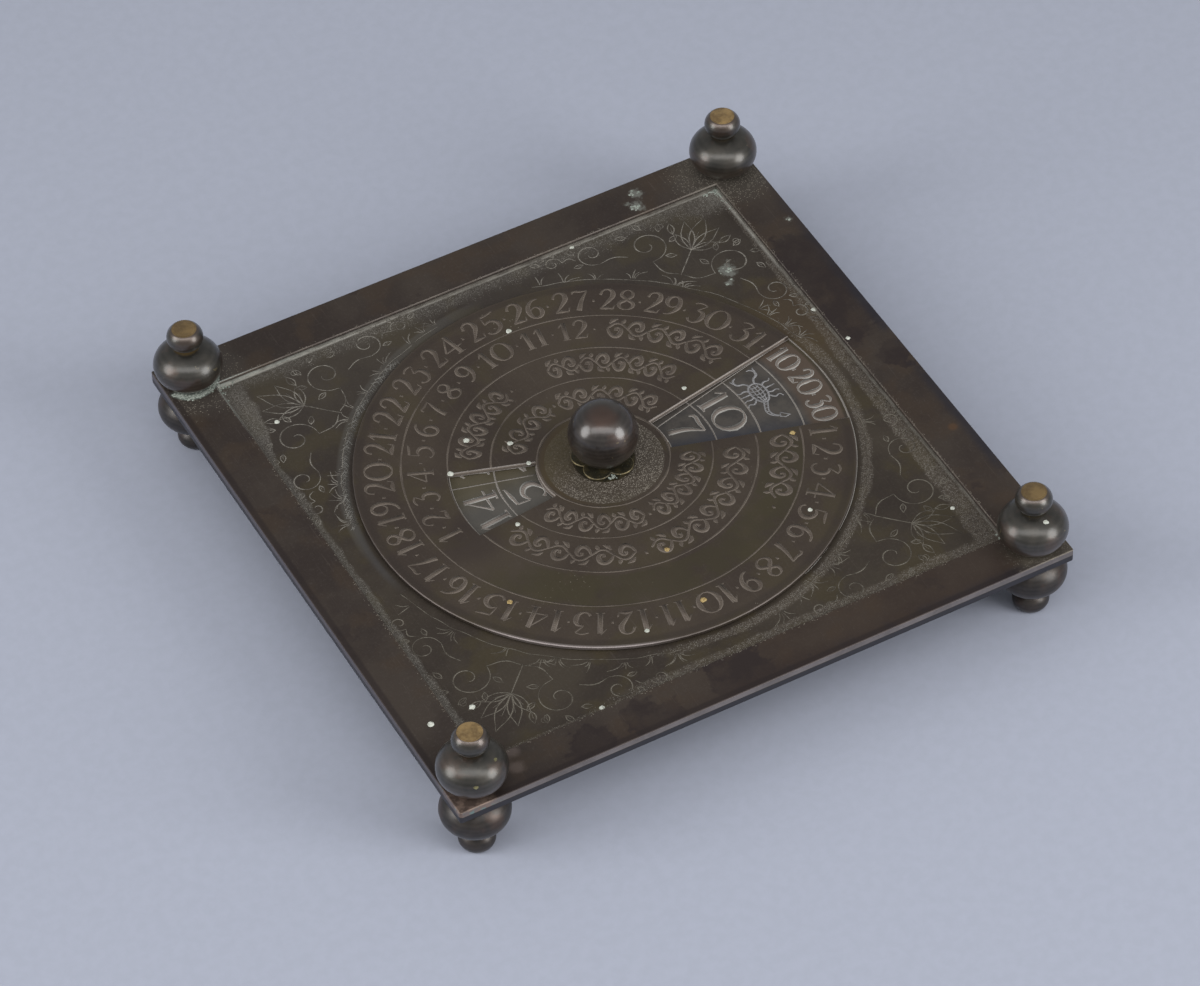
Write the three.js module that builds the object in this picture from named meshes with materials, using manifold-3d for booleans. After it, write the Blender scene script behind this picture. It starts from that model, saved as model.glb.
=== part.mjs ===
// Square desk calendar: a disc with two windows turns over a dial plate that stands on four turned feet.
// Millimetres, +Z up. The origin is on the desk, under the middle of the plate.
import * as THREE from 'three';
import { mergeVertices } from 'three/addons/utils/BufferGeometryUtils.js';
import Module from 'manifold-3d';

const wasm = await Module();
wasm.setup();

// Plate and frame
const plateSide = 120;
const plateThickness = 1.35;
const frameWidth = 8.8;
const frameThickness = 1.15;
const edgeDraft = 0.06;
const outerChamfer = 0.15;
const innerChamfer = 0.2;
const cornerRadius = 0.7;

// Finials and feet
const cornerInset = 5.3;
const bigBallRadius = 6.25;
const bigBallHalfHeight = 4.5;
const bigBallSeatRadius = 2.57;
const smallBallRadius = 3.3;
const smallBallHalfHeight = 2.6;
const wornTipRadius = 2.05;
const neckRadius = 1.9;
const finialHeight = 12.8;
const footHeight = 13.4;
const tieStudRadius = 1.5;
const tieStudReach = 6.2;
const threadClearance = 0.2;
const boreEndClearance = 0.3;

// Cover disc
const discMargin = 6.8;
const discThickness = 0.8;
const discGap = 0.15;
const discBevel = 0.15;
const windowInnerRadius = 12.1;
const closedWindowOuterRadius = 27.8;
const openWindowInnerAngles = [-14.9, 20.4];
const openWindowOuterAngles = [-16.4, 13.5];
const closedWindowInnerAngles = [195.9, 152.6];
const closedWindowOuterAngles = [157.3, 190.3];

// Hub, from the disc up
const hubWasherRadius = 5.4;
const hubWasherThickness = 0.6;
const rosetteTipRadius = 5.95;
const rosetteCuspRadius = 4.4;
const rosetteThickness = 0.5;
const rosetteBevel = 0.15;
const rosetteLobes = 5;
const rosetteTurn = 6;
const knobRadius = 6.3;
const knobSeatRadius = 2.9;
const pivotRadius = 1.6;
const pivotReach = 6.5;
const pivotClearance = 0.1;

// Underside, from the plate down
const backingWasherRadius = 5;
const backingWasherThickness = 0.6;
const springWasherRadius = 4.2;
const springWasherThickness = 0.35;
const springWasherDish = 0.4;
const nutSides = 6;
const nutAcrossFlats = 5.5;
const nutThickness = 2.2;
const pivotTail = 0.8;

// Facets and cuts
const roundSides = 28;
const squareSides = 4;
const arcSegments = 12;
const lobeSegments = 8;
const bigBallSteps = 10;
const smallBallSteps = 6;
const knobSteps = 14;
const discArcDegrees = 4;
const cutOverrun = 2;

// Heights that follow from the stack
const plateBottom = footHeight;
const plateTop = plateBottom + plateThickness;
const frameTop = plateTop + frameThickness;
const discBottom = plateTop + discGap;
const discTop = discBottom + discThickness;
const hubWasherTop = discTop + hubWasherThickness;
const rosetteTop = hubWasherTop + rosetteThickness;
const backingBottom = plateBottom - backingWasherThickness;
const springBottom = backingBottom - discGap - springWasherDish - springWasherThickness;
const nutBottom = springBottom - nutThickness;
const pivotBottom = nutBottom - pivotTail;
const cornerOffset = plateSide / 2 - cornerInset;
const discRadius = plateSide / 2 - frameWidth - discMargin;

const finish = {
  sheet: { color: 0x3f362c, roughness: 0.42, metalness: 0.8 },
  frame: { color: 0x3a2f29, roughness: 0.4, metalness: 0.8 },
  disc: { color: 0x43392c, roughness: 0.4, metalness: 0.8 },
  turned: { color: 0x302e2e, roughness: 0.3, metalness: 0.85 },
  washer: { color: 0x4a4129, roughness: 0.45, metalness: 0.8 },
  steel: { color: 0x77756f, roughness: 0.4, metalness: 0.9 },
};

const radians = THREE.MathUtils.degToRad;
const calendar = new THREE.Group();

function addPiece(name, geometry, look, x = 0, y = 0, z = 0) {
  const mesh = new THREE.Mesh(geometry, new THREE.MeshStandardMaterial(look));
  mesh.name = name;
  mesh.position.set(x, y, z);
  calendar.add(mesh);
}

function toSolid(geometry) {
  const bare = geometry.clone();
  bare.deleteAttribute('normal');
  bare.deleteAttribute('uv');
  const merged = mergeVertices(bare);
  return new wasm.Manifold(new wasm.Mesh({
    numProp: 3,
    vertProperties: new Float32Array(merged.attributes.position.array),
    triVerts: new Uint32Array(merged.index.array),
  }));
}

function toGeometry(solid) {
  const mesh = solid.getMesh();
  const geometry = new THREE.BufferGeometry();
  geometry.setAttribute('position', new THREE.BufferAttribute(new Float32Array(mesh.vertProperties), 3));
  geometry.setIndex(new THREE.BufferAttribute(new Uint32Array(mesh.triVerts), 1));
  geometry.computeVertexNormals();
  return geometry;
}

// A lathe profile is a list of [radius, height] pairs; the axis is turned up to +Z.
function lathe(profile, sides = roundSides, start = 0) {
  const points = profile.map(([radius, height]) => new THREE.Vector2(radius, height));
  const geometry = new THREE.LatheGeometry(points, sides, start);
  geometry.rotateX(Math.PI / 2);
  return geometry;
}

// A four-sided lathe makes square sheets whose edges can slope; half is half the side.
function squareLathe(profile) {
  const turn = Math.PI / squareSides;
  return lathe(profile.map(([half, height]) => [half / Math.cos(turn), height]), squareSides, turn);
}

function cylinderBetween(radius, bottom, top, sides = roundSides) {
  return lathe([[0, bottom], [radius, bottom], [radius, top], [0, top]], sides);
}

function ring(innerRadius, outerRadius, thickness) {
  return lathe([
    [innerRadius, 0], [outerRadius, 0], [outerRadius, thickness], [innerRadius, thickness], [innerRadius, 0],
  ]);
}

function drill(solid, radius, x, y, bottom, top) {
  const bit = cylinderBetween(radius, bottom - cutOverrun, top + cutOverrun);
  bit.translate(x, y, 0);
  return solid.subtract(toSolid(bit));
}

// The part of a spheroid's outline from angle start to angle end, measured from straight down.
function spheroidArc(radius, halfHeight, centre, start, end, steps) {
  return Array.from({ length: steps + 1 }, (_, i) => {
    const angle = start + (end - start) * i / steps;
    return [radius * Math.sin(angle), centre - halfHeight * Math.cos(angle)];
  });
}

// Trims a sheet's corners round; between the rounds the trimming block bows clear of the straight sides.
function roundCorners(sheet, thickness) {
  const half = plateSide / 2;
  const quarter = 2 * Math.PI / squareSides;
  const centreDistance = (half - cornerRadius) / Math.cos(quarter / 2);
  const bow = half + cutOverrun;
  const outline = new THREE.Shape();
  for (let side = 0; side < squareSides; side += 1) {
    const start = side * quarter;
    const diagonal = start + quarter / 2;
    const end = start + quarter;
    outline.absarc(
      centreDistance * Math.cos(diagonal), centreDistance * Math.sin(diagonal), cornerRadius, start, end, false);
    outline.lineTo(bow * Math.cos(end), bow * Math.sin(end));
  }
  const block = new THREE.ExtrudeGeometry(outline, {
    depth: thickness + 2 * cutOverrun, bevelEnabled: false, curveSegments: lobeSegments,
  });
  block.translate(0, 0, -cutOverrun);
  return sheet.intersect(toSolid(block));
}

const corners = [
  ['front_left', -1, -1],
  ['front_right', 1, -1],
  ['back_right', 1, 1],
  ['back_left', -1, 1],
];

function drillPlate(solid, bottom, top) {
  const holeRadius = tieStudRadius + threadClearance;
  return corners.reduce(
    (rest, [, sx, sy]) => drill(rest, holeRadius, sx * cornerOffset, sy * cornerOffset, bottom, top), solid);
}

function makeBasePlate() {
  const half = plateSide / 2;
  const sheet = toSolid(squareLathe([
    [0, 0], [half - edgeDraft, 0], [half, plateThickness], [0, plateThickness],
  ]));
  const drilled = drillPlate(roundCorners(sheet, plateThickness), 0, plateThickness);
  const bored = drill(drilled, pivotRadius + pivotClearance, 0, 0, 0, plateThickness);
  addPiece('base_plate', toGeometry(bored), finish.sheet, 0, 0, plateBottom);
}

function makeFrame() {
  const half = plateSide / 2;
  const inner = half - frameWidth;
  const border = toSolid(squareLathe([
    [inner, 0], [half, 0], [half - edgeDraft, frameThickness - outerChamfer],
    [half - edgeDraft - outerChamfer, frameThickness], [inner + innerChamfer, frameThickness],
    [inner, frameThickness - innerChamfer], [inner, 0],
  ]));
  const drilled = drillPlate(roundCorners(border, frameThickness), 0, frameThickness);
  addPiece('frame_border', toGeometry(drilled), finish.frame, 0, 0, plateTop);
}

// A big and a small ball turned in one, seat at height 0, with the stud's bore in it and a worn flat tip.
function turnedBalls(tipHeight) {
  const seatAngle = Math.asin(bigBallSeatRadius / bigBallRadius);
  const bigBallLift = bigBallHalfHeight * Math.cos(seatAngle);
  const neckTopAngle = Math.PI - Math.asin(neckRadius / bigBallRadius);
  const collarAngle = Math.asin(neckRadius / smallBallRadius);
  const tipAngle = Math.PI - Math.asin(wornTipRadius / smallBallRadius);
  const smallBallLift = tipHeight + smallBallHalfHeight * Math.cos(tipAngle);
  const boreRadius = tieStudRadius + threadClearance;
  const boreDepth = tieStudReach + boreEndClearance;
  return lathe([
    [0, boreDepth],
    [boreRadius, boreDepth],
    [boreRadius, 0],
    ...spheroidArc(bigBallRadius, bigBallHalfHeight, bigBallLift, seatAngle, neckTopAngle, bigBallSteps),
    ...spheroidArc(smallBallRadius, smallBallHalfHeight, smallBallLift, collarAngle, tipAngle, smallBallSteps),
    [0, tipHeight],
  ]);
}

function makeCorners() {
  const finial = turnedBalls(finialHeight);
  const foot = turnedBalls(footHeight);
  foot.rotateX(Math.PI);
  const stud = cylinderBetween(tieStudRadius, plateBottom - tieStudReach, frameTop + tieStudReach);
  for (const [place, sx, sy] of corners) {
    const x = sx * cornerOffset;
    const y = sy * cornerOffset;
    addPiece(`finial_${place}`, finial.clone(), finish.turned, x, y, frameTop);
    addPiece(`foot_${place}`, foot.clone(), finish.turned, x, y, plateBottom);
    addPiece(`tie_stud_${place}`, stud.clone(), finish.steel, x, y);
  }
}

// Points along an arc about the axis, both ends included, from one angle in degrees to another.
function arcPoints(radius, from, to) {
  const steps = Math.max(1, Math.round(Math.abs(to - from) / discArcDegrees));
  return Array.from({ length: steps + 1 }, (_, i) => {
    const angle = radians(from + (to - from) * i / steps);
    return new THREE.Vector2(radius * Math.cos(angle), radius * Math.sin(angle));
  });
}

function circlePath(radius) {
  const path = new THREE.Path();
  path.absarc(0, 0, radius, 0, 2 * Math.PI, true);
  return path;
}

// The open window is the gap that the outline leaves between its two ends. The windows' sides are straight and
// not quite radial, so each has its own angles at the inner and the outer arc.
function makeCoverDisc() {
  const fullTurn = 360;
  const [openStart, openEnd] = openWindowOuterAngles;
  const outline = new THREE.Shape([
    ...arcPoints(discRadius, openEnd, openStart + fullTurn),
    ...arcPoints(windowInnerRadius, ...openWindowInnerAngles),
  ]);
  const closedWindow = new THREE.Path([
    ...arcPoints(closedWindowOuterRadius, ...closedWindowOuterAngles),
    ...arcPoints(windowInnerRadius, ...closedWindowInnerAngles),
  ]);
  outline.holes.push(closedWindow, circlePath(pivotRadius + pivotClearance));
  const geometry = new THREE.ExtrudeGeometry(outline, {
    depth: discThickness - 2 * discBevel,
    bevelThickness: discBevel,
    bevelSize: discBevel,
    bevelOffset: -discBevel,
    bevelSegments: 1,
    curveSegments: arcSegments,
  });
  geometry.translate(0, 0, discBevel);
  addPiece('cover_disc', geometry, finish.disc, 0, 0, discBottom);
}

// Each lobe is an arc; its circle follows from the tip and cusp radii.
function rosetteOutline() {
  const halfLobe = Math.PI / rosetteLobes;
  const centreRadius = (rosetteTipRadius ** 2 - rosetteCuspRadius ** 2)
    / (2 * (rosetteTipRadius - rosetteCuspRadius * Math.cos(halfLobe)));
  const lobeRadius = rosetteTipRadius - centreRadius;
  const sweep = Math.atan2(
    rosetteCuspRadius * Math.sin(halfLobe), rosetteCuspRadius * Math.cos(halfLobe) - centreRadius);
  const outline = new THREE.Shape();
  for (let lobe = 0; lobe < rosetteLobes; lobe += 1) {
    const middle = radians(rosetteTurn) + lobe * 2 * halfLobe;
    outline.absarc(
      centreRadius * Math.cos(middle), centreRadius * Math.sin(middle),
      lobeRadius, middle - sweep, middle + sweep, false);
  }
  outline.closePath();
  return outline;
}

function makeHub() {
  const holeRadius = pivotRadius + pivotClearance;
  addPiece('hub_washer', ring(holeRadius, hubWasherRadius, hubWasherThickness), finish.washer, 0, 0, discTop);
  const outline = rosetteOutline();
  outline.holes.push(circlePath(holeRadius));
  const rosette = new THREE.ExtrudeGeometry(outline, {
    depth: rosetteThickness - 2 * rosetteBevel,
    bevelThickness: rosetteBevel,
    bevelSize: rosetteBevel,
    bevelOffset: -rosetteBevel,
    bevelSegments: 1,
    curveSegments: lobeSegments,
  });
  rosette.translate(0, 0, rosetteBevel);
  addPiece('rosette_washer', rosette, finish.washer, 0, 0, hubWasherTop);
}

function makeKnob() {
  const seatAngle = Math.asin(knobSeatRadius / knobRadius);
  const centre = knobRadius * Math.cos(seatAngle);
  const boreRadius = pivotRadius + threadClearance;
  const boreDepth = pivotReach + boreEndClearance;
  const knob = lathe([
    [0, boreDepth],
    [boreRadius, boreDepth],
    [boreRadius, 0],
    ...spheroidArc(knobRadius, knobRadius, centre, seatAngle, Math.PI, knobSteps),
  ]);
  addPiece('knob_ball', knob, finish.turned, 0, 0, rosetteTop);
}

function makeUnderside() {
  const holeRadius = pivotRadius + pivotClearance;
  const backing = ring(holeRadius, backingWasherRadius, backingWasherThickness);
  addPiece('backing_washer', backing, finish.steel, 0, 0, backingBottom);
  const spring = lathe([
    [holeRadius, 0],
    [springWasherRadius, springWasherDish],
    [springWasherRadius, springWasherDish + springWasherThickness],
    [holeRadius, springWasherThickness],
    [holeRadius, 0],
  ]);
  addPiece('spring_washer', spring, finish.steel, 0, 0, springBottom);
  const stud = cylinderBetween(pivotRadius, pivotBottom, rosetteTop + pivotReach);
  addPiece('pivot_stud', stud, finish.steel);
}

function makeNut() {
  const cornerRadius = nutAcrossFlats / 2 / Math.cos(Math.PI / nutSides);
  const outline = new THREE.Shape(Array.from({ length: nutSides }, (_, side) => {
    const angle = side * 2 * Math.PI / nutSides;
    return new THREE.Vector2(cornerRadius * Math.cos(angle), cornerRadius * Math.sin(angle));
  }));
  outline.holes.push(circlePath(pivotRadius + threadClearance));
  const nut = new THREE.ExtrudeGeometry(outline, {
    depth: nutThickness, bevelEnabled: false, curveSegments: arcSegments,
  });
  addPiece('retaining_nut', nut, finish.steel, 0, 0, nutBottom);
}

makeBasePlate();
makeFrame();
makeCorners();
makeCoverDisc();
makeHub();
makeKnob();
makeUnderside();
makeNut();

export default calendar;
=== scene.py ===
"""Square desk calendar in dark patinated brass: a disc with two windows turns over an engraved dial plate.

Sizes are millimetres unless a name says otherwise; meshes are made in metres, in the frame's own place.
Colours are 0 to 255 in sRGB.
"""
import math
import random

import bmesh
import bpy
from mathutils import Matrix, Vector, noise


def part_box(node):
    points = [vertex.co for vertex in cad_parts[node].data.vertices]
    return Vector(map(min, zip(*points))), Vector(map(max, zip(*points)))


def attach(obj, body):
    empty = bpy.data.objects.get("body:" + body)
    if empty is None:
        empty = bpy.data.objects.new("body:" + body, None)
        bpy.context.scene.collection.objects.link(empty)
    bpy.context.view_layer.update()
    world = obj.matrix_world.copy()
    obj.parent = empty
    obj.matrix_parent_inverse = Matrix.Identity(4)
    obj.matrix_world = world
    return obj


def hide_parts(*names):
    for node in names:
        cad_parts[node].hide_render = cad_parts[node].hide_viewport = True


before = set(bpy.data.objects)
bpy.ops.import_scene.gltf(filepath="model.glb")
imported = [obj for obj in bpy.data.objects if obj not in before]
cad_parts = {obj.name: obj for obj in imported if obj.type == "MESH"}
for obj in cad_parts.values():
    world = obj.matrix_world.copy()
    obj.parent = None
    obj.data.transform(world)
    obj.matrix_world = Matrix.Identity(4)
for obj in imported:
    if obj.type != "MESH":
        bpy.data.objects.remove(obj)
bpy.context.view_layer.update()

MM = 0.001
CORNERS = {"front_left": 225, "front_right": 315, "back_right": 45, "back_left": 135}


def spot(node, end):
    """A corner of a node's box in millimetres: end 0 is the lowest, 1 the highest."""
    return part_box(node)[end] / MM


PLATE_HALF = spot("base_plate", 1).x
DIAL_Z = spot("base_plate", 1).z
FRAME_Z = spot("frame_border", 1).z
DISC_Z = spot("cover_disc", 1).z
DISC_BOTTOM = spot("cover_disc", 0).z
DISC_R = spot("cover_disc", 1).y
FRAME_WIDTH = 8.8
INNER_HALF = PLATE_HALF - FRAME_WIDTH
FINIAL_AT = (spot("finial_back_right", 0).x + spot("finial_back_right", 1).x) / 2

# Windows of the disc: the angles of each side at the inner and the outer arc, in degrees from +X
WINDOW_INNER = 12.1
CLOSED_OUTER = 27.8
OPEN_LOW = (-14.9, -16.4)
OPEN_HIGH = (20.4, 13.5)
CLOSED_HIGH = (152.6, 157.3)
CLOSED_LOW = (195.9, 190.3)

# Cut rings of the disc: radius, and how far the centre strays towards the back
DISC_RINGS = ((11.7, 0.3), (19.6, 0.9), (27.4, 0.65), (35.5, 0.75))

# Dial: its rings, its centre beside the pivot, and twelve sectors with the months running clockwise
DIAL_RINGS = (11.7, 20.0, 28.0, 35.9, 44.0)
DIAL_CENTRE = (0.58, 0.2)
SECTOR = 30
SECTOR_EDGE = 14
FIRST_MONTH_AT = 269

CAMERA_AIM = Vector((-4.58, -6.86, FRAME_Z))
CAMERA_DISTANCE = 1033.7
CAMERA_AZIMUTH = -26.635
CAMERA_ELEVATION = 46.533
CAMERA_ROLL = -2.547
CAMERA_LENS = 177.16
CAMERA_CLIP_METRES = (0.05, 20)


def direction(azimuth, elevation):
    """Unit vector away from the calendar: azimuth 0 is -Y, counted towards +X."""
    a, e = math.radians(azimuth), math.radians(elevation)
    return Vector((math.sin(a) * math.cos(e), -math.cos(a) * math.cos(e), math.sin(e)))


def srgb(red, green, painted_low_shade):
    """A colour given as 0 to 255 in sRGB, as the linear RGBA that a socket takes."""
    def linear(value):
        share = value / 255
        return share / 12.92 if share <= 0.04045 else ((share + 0.055) / 1.055) ** 2.4
    return (linear(red), linear(green), linear(painted_low_shade), 1.0)


class Value:
    """A socket that carries a number; Python's operators add Math nodes to it."""

    def __init__(self, finish, socket):
        self.finish = finish
        self.socket = socket

    def math(self, operation, *others):
        inputs = {0: self} | {place + 1: other for place, other in enumerate(others)}
        return self.finish.node("Math", {"operation": operation}, inputs)

    def __add__(self, other):
        return self.math("ADD", other)

    def __sub__(self, other):
        return self.math("SUBTRACT", other)

    def __mul__(self, other):
        return self.math("MULTIPLY", other)

    def __rsub__(self, other):
        return self.math("MULTIPLY_ADD", -1.0, other)

    __radd__ = __add__
    __rmul__ = __mul__

    def at_least(self, other):
        return self.math("MAXIMUM", other)

    def at_most(self, other):
        return self.math("MINIMUM", other)

    def over(self, low, high):
        """0 at low, 1 at high, smooth between; low may be the larger."""
        return self.finish.node("MapRange", {"interpolation_type": "SMOOTHSTEP"},
                                {"Value": self, "From Min": low, "From Max": high})


class Finish:
    """One material: its Principled shader, its colour, and nodes that read a place in millimetres."""

    def __init__(self, name):
        self.material = bpy.data.materials.new(name)
        self.material.use_nodes = True
        self.tree = self.material.node_tree
        self.shader = self.tree.nodes["Principled BSDF"]
        metres = self.node("TexCoord", output="Object")
        self.place = self.node("VectorMath", {"operation": "SCALE"}, {0: metres, "Scale": 1 / MM})
        self.x, self.y, self.z = (self.part(self.place, axis) for axis in range(3))

    def node(self, kind, settings=None, inputs=None, output=0):
        made = self.tree.nodes.new("ShaderNode" + kind)
        for name, value in (settings or {}).items():
            setattr(made, name, value)
        for name, value in (inputs or {}).items():
            self.feed(made.inputs[name], value)
        return Value(self, made.outputs[output])

    def feed(self, socket, value):
        if isinstance(value, Value):
            self.tree.links.new(value.socket, socket)
        else:
            socket.default_value = srgb(*value) if socket.type == "RGBA" else value

    def part(self, vector, axis):
        """One number of a vector."""
        return self.node("SeparateXYZ", inputs={0: vector}, output=axis)

    def radius(self, x=0.0, y=0.0, mirrored=False):
        """Distance from an upright axis, or from the nearest of it and its mirror images."""
        across = (self.x.math("ABSOLUTE") if mirrored else self.x) - x
        along = (self.y.math("ABSOLUTE") if mirrored else self.y) - y
        return (across * across + along * along).math("SQRT")

    def noise(self, grain, detail=3.0, roughness=0.55, stretch=(1, 1, 1), shift=(0, 0, 0)):
        """Noise whose clouds are about that many millimetres wide."""
        laid = self.node("Mapping", inputs={"Vector": self.place, "Location": shift, "Scale": stretch})
        return self.node("TexNoise", inputs={
            "Vector": laid, "Scale": 1 / grain, "Detail": detail, "Roughness": roughness})

    def grains(self, size, density):
        """Round grains about that many millimetres apart, on that share of the places."""
        cells = {"Vector": self.place, "Scale": 1 / size}
        distance = self.node("TexVoronoi", inputs=cells)
        chance = self.part(self.node("TexVoronoi", inputs=cells, output=1), 0)
        return distance.over(0.5, 0.28) * (density - chance).over(0.0, 0.05)

    def mix(self, share, first, second):
        return self.node("Mix", {"data_type": "RGBA"}, {0: share, 6: first, 7: second}, output=2)

    def start(self, share, first, second):
        self.colour = self.mix(share, first, second)

    def tint(self, share, colour):
        self.colour = self.mix(share, self.colour, colour)

    def finished(self, metallic, roughness, relief=None, depth=0.0, **others):
        """Sets the shader, with bumps of that many millimetres where the relief goes from 0 to 1."""
        inputs = {"Base Color": self.colour, "Metallic": metallic, "Roughness": roughness} | others
        if relief is not None:
            inputs["Normal"] = self.node("Bump", inputs={"Height": relief, "Distance": depth * MM})
        for name, value in inputs.items():
            self.feed(self.shader.inputs[name.replace("_", " ")], value)
        return self.material


class Sheet(Finish):
    """Dark brass sheet: large clouds, warm blotches, fine grain, faint scratches and a little dust."""

    def __init__(self, name, ground, dark, warm, shift):
        super().__init__(name)
        clouds = self.noise(20, 5, 0.6, shift=shift)
        blotches = self.noise(8, 4, 0.5, shift=(shift[0] + 40, shift[1], 7))
        grain = self.noise(0.45, 4, 0.7)
        scratches = self.noise(0.24, 2, 0.5, stretch=(1, 0.03, 1), shift=shift).over(0.66, 0.74)
        self.start(clouds.over(0.36, 0.66), dark, ground)
        self.tint(blotches.over(0.48, 0.64) * 0.6, warm)
        self.tint(grain.over(0.5, 0.75) * 0.25, (104, 96, 90))
        self.tint(scratches * 0.12, (122, 112, 104))
        self.relief = grain * 0.7 - scratches * 0.4
        self.gloss = grain * 0.16 + clouds * 0.1
        self.bare = (self.colour, self.relief, self.gloss)

    def bare_below(self, height):
        """Takes what has been laid on so far off everything under that height."""
        colour, relief, gloss = self.bare
        under = self.z.over(height, height - 0.2)
        self.tint(under, colour)
        self.relief = self.relief * (1 - under) + relief * under
        self.gloss = self.gloss * (1 - under) + gloss * under

    def dust(self, density, size=0.3, colour=(150, 143, 130), strength=0.85):
        """Pale grains that stand a little proud."""
        grains = self.grains(size, density)
        self.tint(grains * strength, colour)
        self.relief = self.relief + grains * 1.5
        self.gloss = self.gloss + grains * 0.3

    def crust(self, places):
        """Powdery lime at places given with how far it reaches."""
        ragged = self.noise(1.2, 5, 0.75, shift=(6, 2, 4)) * 3.6 - 1.8
        for x, y, reach in places:
            share = (self.radius(x, y) + ragged).over(reach, reach - 0.9)
            self.tint(share * 0.75, (138, 140, 133))
            self.relief = self.relief + share

    def done(self, roughness):
        return self.finished(0.5, self.gloss + roughness, self.relief, 0.02)


PLATE_CRUSTS = ((42.5, 31.6, 2.0), (41.2, 28.4, 1.0), (43.8, 33.4, 0.9))


def plate_finish():
    """The sunk plate: olive brown, with punched grain and dust along the frame, and the dial."""
    sheet = Sheet("plate_patina", (77, 69, 59), (63, 55, 49), (80, 71, 50), (3, 5, 0))
    x, y = sheet.x, sheet.y
    drift = sheet.noise(6, 3, 0.5, shift=(11, 3, 0)) - 0.5
    fleck = sheet.noise(0.7, 3, 0.7, shift=(2, 8, 0))
    from_back, from_left = INNER_HALF - y, x + INNER_HALF
    from_front, from_right = y + INNER_HALF, INNER_HALF - x
    from_corner = sheet.radius(INNER_HALF, INNER_HALF)
    from_disc = sheet.radius(0, 0.3) - DISC_R
    inside = from_front.at_most(from_right).at_most(from_back.at_most(from_left))
    open_panel = inside.over(-0.1, 0.05) * from_disc.over(0.0, 0.3)

    def lay(share, colour):
        """Tints the open corners only."""
        sheet.tint(share * open_panel, colour)

    lay(y.over(10, 50) * 0.25, (82, 77, 73))
    lay(sheet.radius(48, 13).over(15, 5) * 0.5, (92, 76, 55))
    sheen = sheet.radius(-45.5, 2).over(13, 5) * from_disc.over(2.6, 1.4) * from_disc.over(0.4, 1.2)
    lay(sheen * 0.55, (88, 86, 86))
    sheet.crust(PLATE_CRUSTS)
    corner_haze = (from_corner + drift * 8).over(13, 5) * from_back.over(7, 3.5) * 0.9
    back_haze = (from_back + drift * 4).over(4.4, 0.4) * (drift.over(-0.25, 0.1) * 0.4 + 0.6)
    left_haze = (from_left + drift * 2.5 - y.over(28, 46) * 2.8).over(2.0, 1.2)
    haze = back_haze.at_least(corner_haze).at_least(left_haze)
    front_band = (from_front + drift * 3).over(2.9, 2.0) * (x - y).over(18, 38) + from_front.over(1.4, 0.8)
    right_band = (from_right + drift * 2 - from_back * 0.034).over(1.2, 0.4)
    arc = (from_disc + drift * 2).over(3.3, 2.4) * from_disc.over(0.7, 1.4) * (x - y).over(24, 44)
    band = front_band.at_least(right_band.at_least(arc)).at_most(1.0)
    lay(haze * (fleck.over(0.3, 0.7) * 0.35 + 0.2), (124, 120, 113))
    lay(band * (fleck.over(0.3, 0.65) * 0.38 + 0.08), (118, 109, 98))
    density = haze * 0.55 + band * 0.5 + 0.012
    sheet.dust(density * open_panel, 0.16, (158, 153, 146), strength=0.8)
    chalk = (from_corner + drift * 5).over(5.5, 0.5) * (fleck.over(0.35, 0.65) * 0.4 + 0.3)
    lay(chalk, (166, 163, 156))
    rim_band = from_disc.over(0.3, 0.8) * from_disc.over(3.0, 2.3) * (y - x).over(44, 56)
    lay(rim_band * 0.4, (104, 101, 96))
    foot_line = from_left.over(46, 4) * from_back.over(0.7, 0.2)
    foot_line += from_right.over(0.8, 0.25) * y.over(12, 44) * 0.8
    foot_line += from_left.over(0.6, 0.1) * y.over(30, 48)
    foot_line += from_back.over(0.5, 0.1) * 0.4 + inside.over(0.5, 0.1) * 0.35
    patchy = sheet.noise(2.5, 3).over(0.3, 0.55) * 0.5 + 0.5
    lay(foot_line.at_most(1.0) * patchy, (184, 181, 174))
    sheet.tint(from_disc.over(-0.3, -0.9) * 0.9, dial_ground(sheet, drift))
    sheet.bare_below(DIAL_Z - 0.1)
    # Painted shade: the plate's outer side below its top, darker and bluish.
    side = sheet.z.over(DIAL_Z - 0.02, DIAL_Z - 0.15) * inside.over(1 - FRAME_WIDTH, 0.3 - FRAME_WIDTH)
    sheet.tint(side, (58, 57, 62))
    return sheet.done(0.38)


def dial_ground(sheet, drift):
    """The dial's colour: grey-brown clouds, paler on the left, painted bluish shade low down on the right."""
    x, y, reach = sheet.x, sheet.y, sheet.radius()
    clouds = sheet.noise(3.5, 4, 0.6, shift=(0, 9, 2)).over(0.35, 0.6)
    ground = sheet.mix(clouds, (78, 75, 73), (96, 91, 86))
    left = sheet.mix(y.over(0, 7), (108, 105, 99), (106, 97, 70))
    ground = sheet.mix(x.over(0, -6) * 0.6, ground, left)
    near_wall = (y - x * 0.17 + drift * 3).over(0.5, 4.5) * x.over(0, 6)
    ground = sheet.mix(near_wall * 0.6, ground, (76, 69, 54))
    ground = sheet.mix(reach.over(36.5, 38.5) * 0.75, ground, (106, 89, 76))
    # Painted shade: bluish and darker low down in the open window, on the right.
    low_edge = x * 0.281 + y + sheet.noise(9, 2, 0.5, shift=(5, 5, 5)) * 5
    painted_low_shade = low_edge.over(7.5, 1.5) * reach.over(38.5, 35.5) * x.over(0, 6)
    return sheet.mix(painted_low_shade * 0.8, ground, (68, 71, 82))


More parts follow.
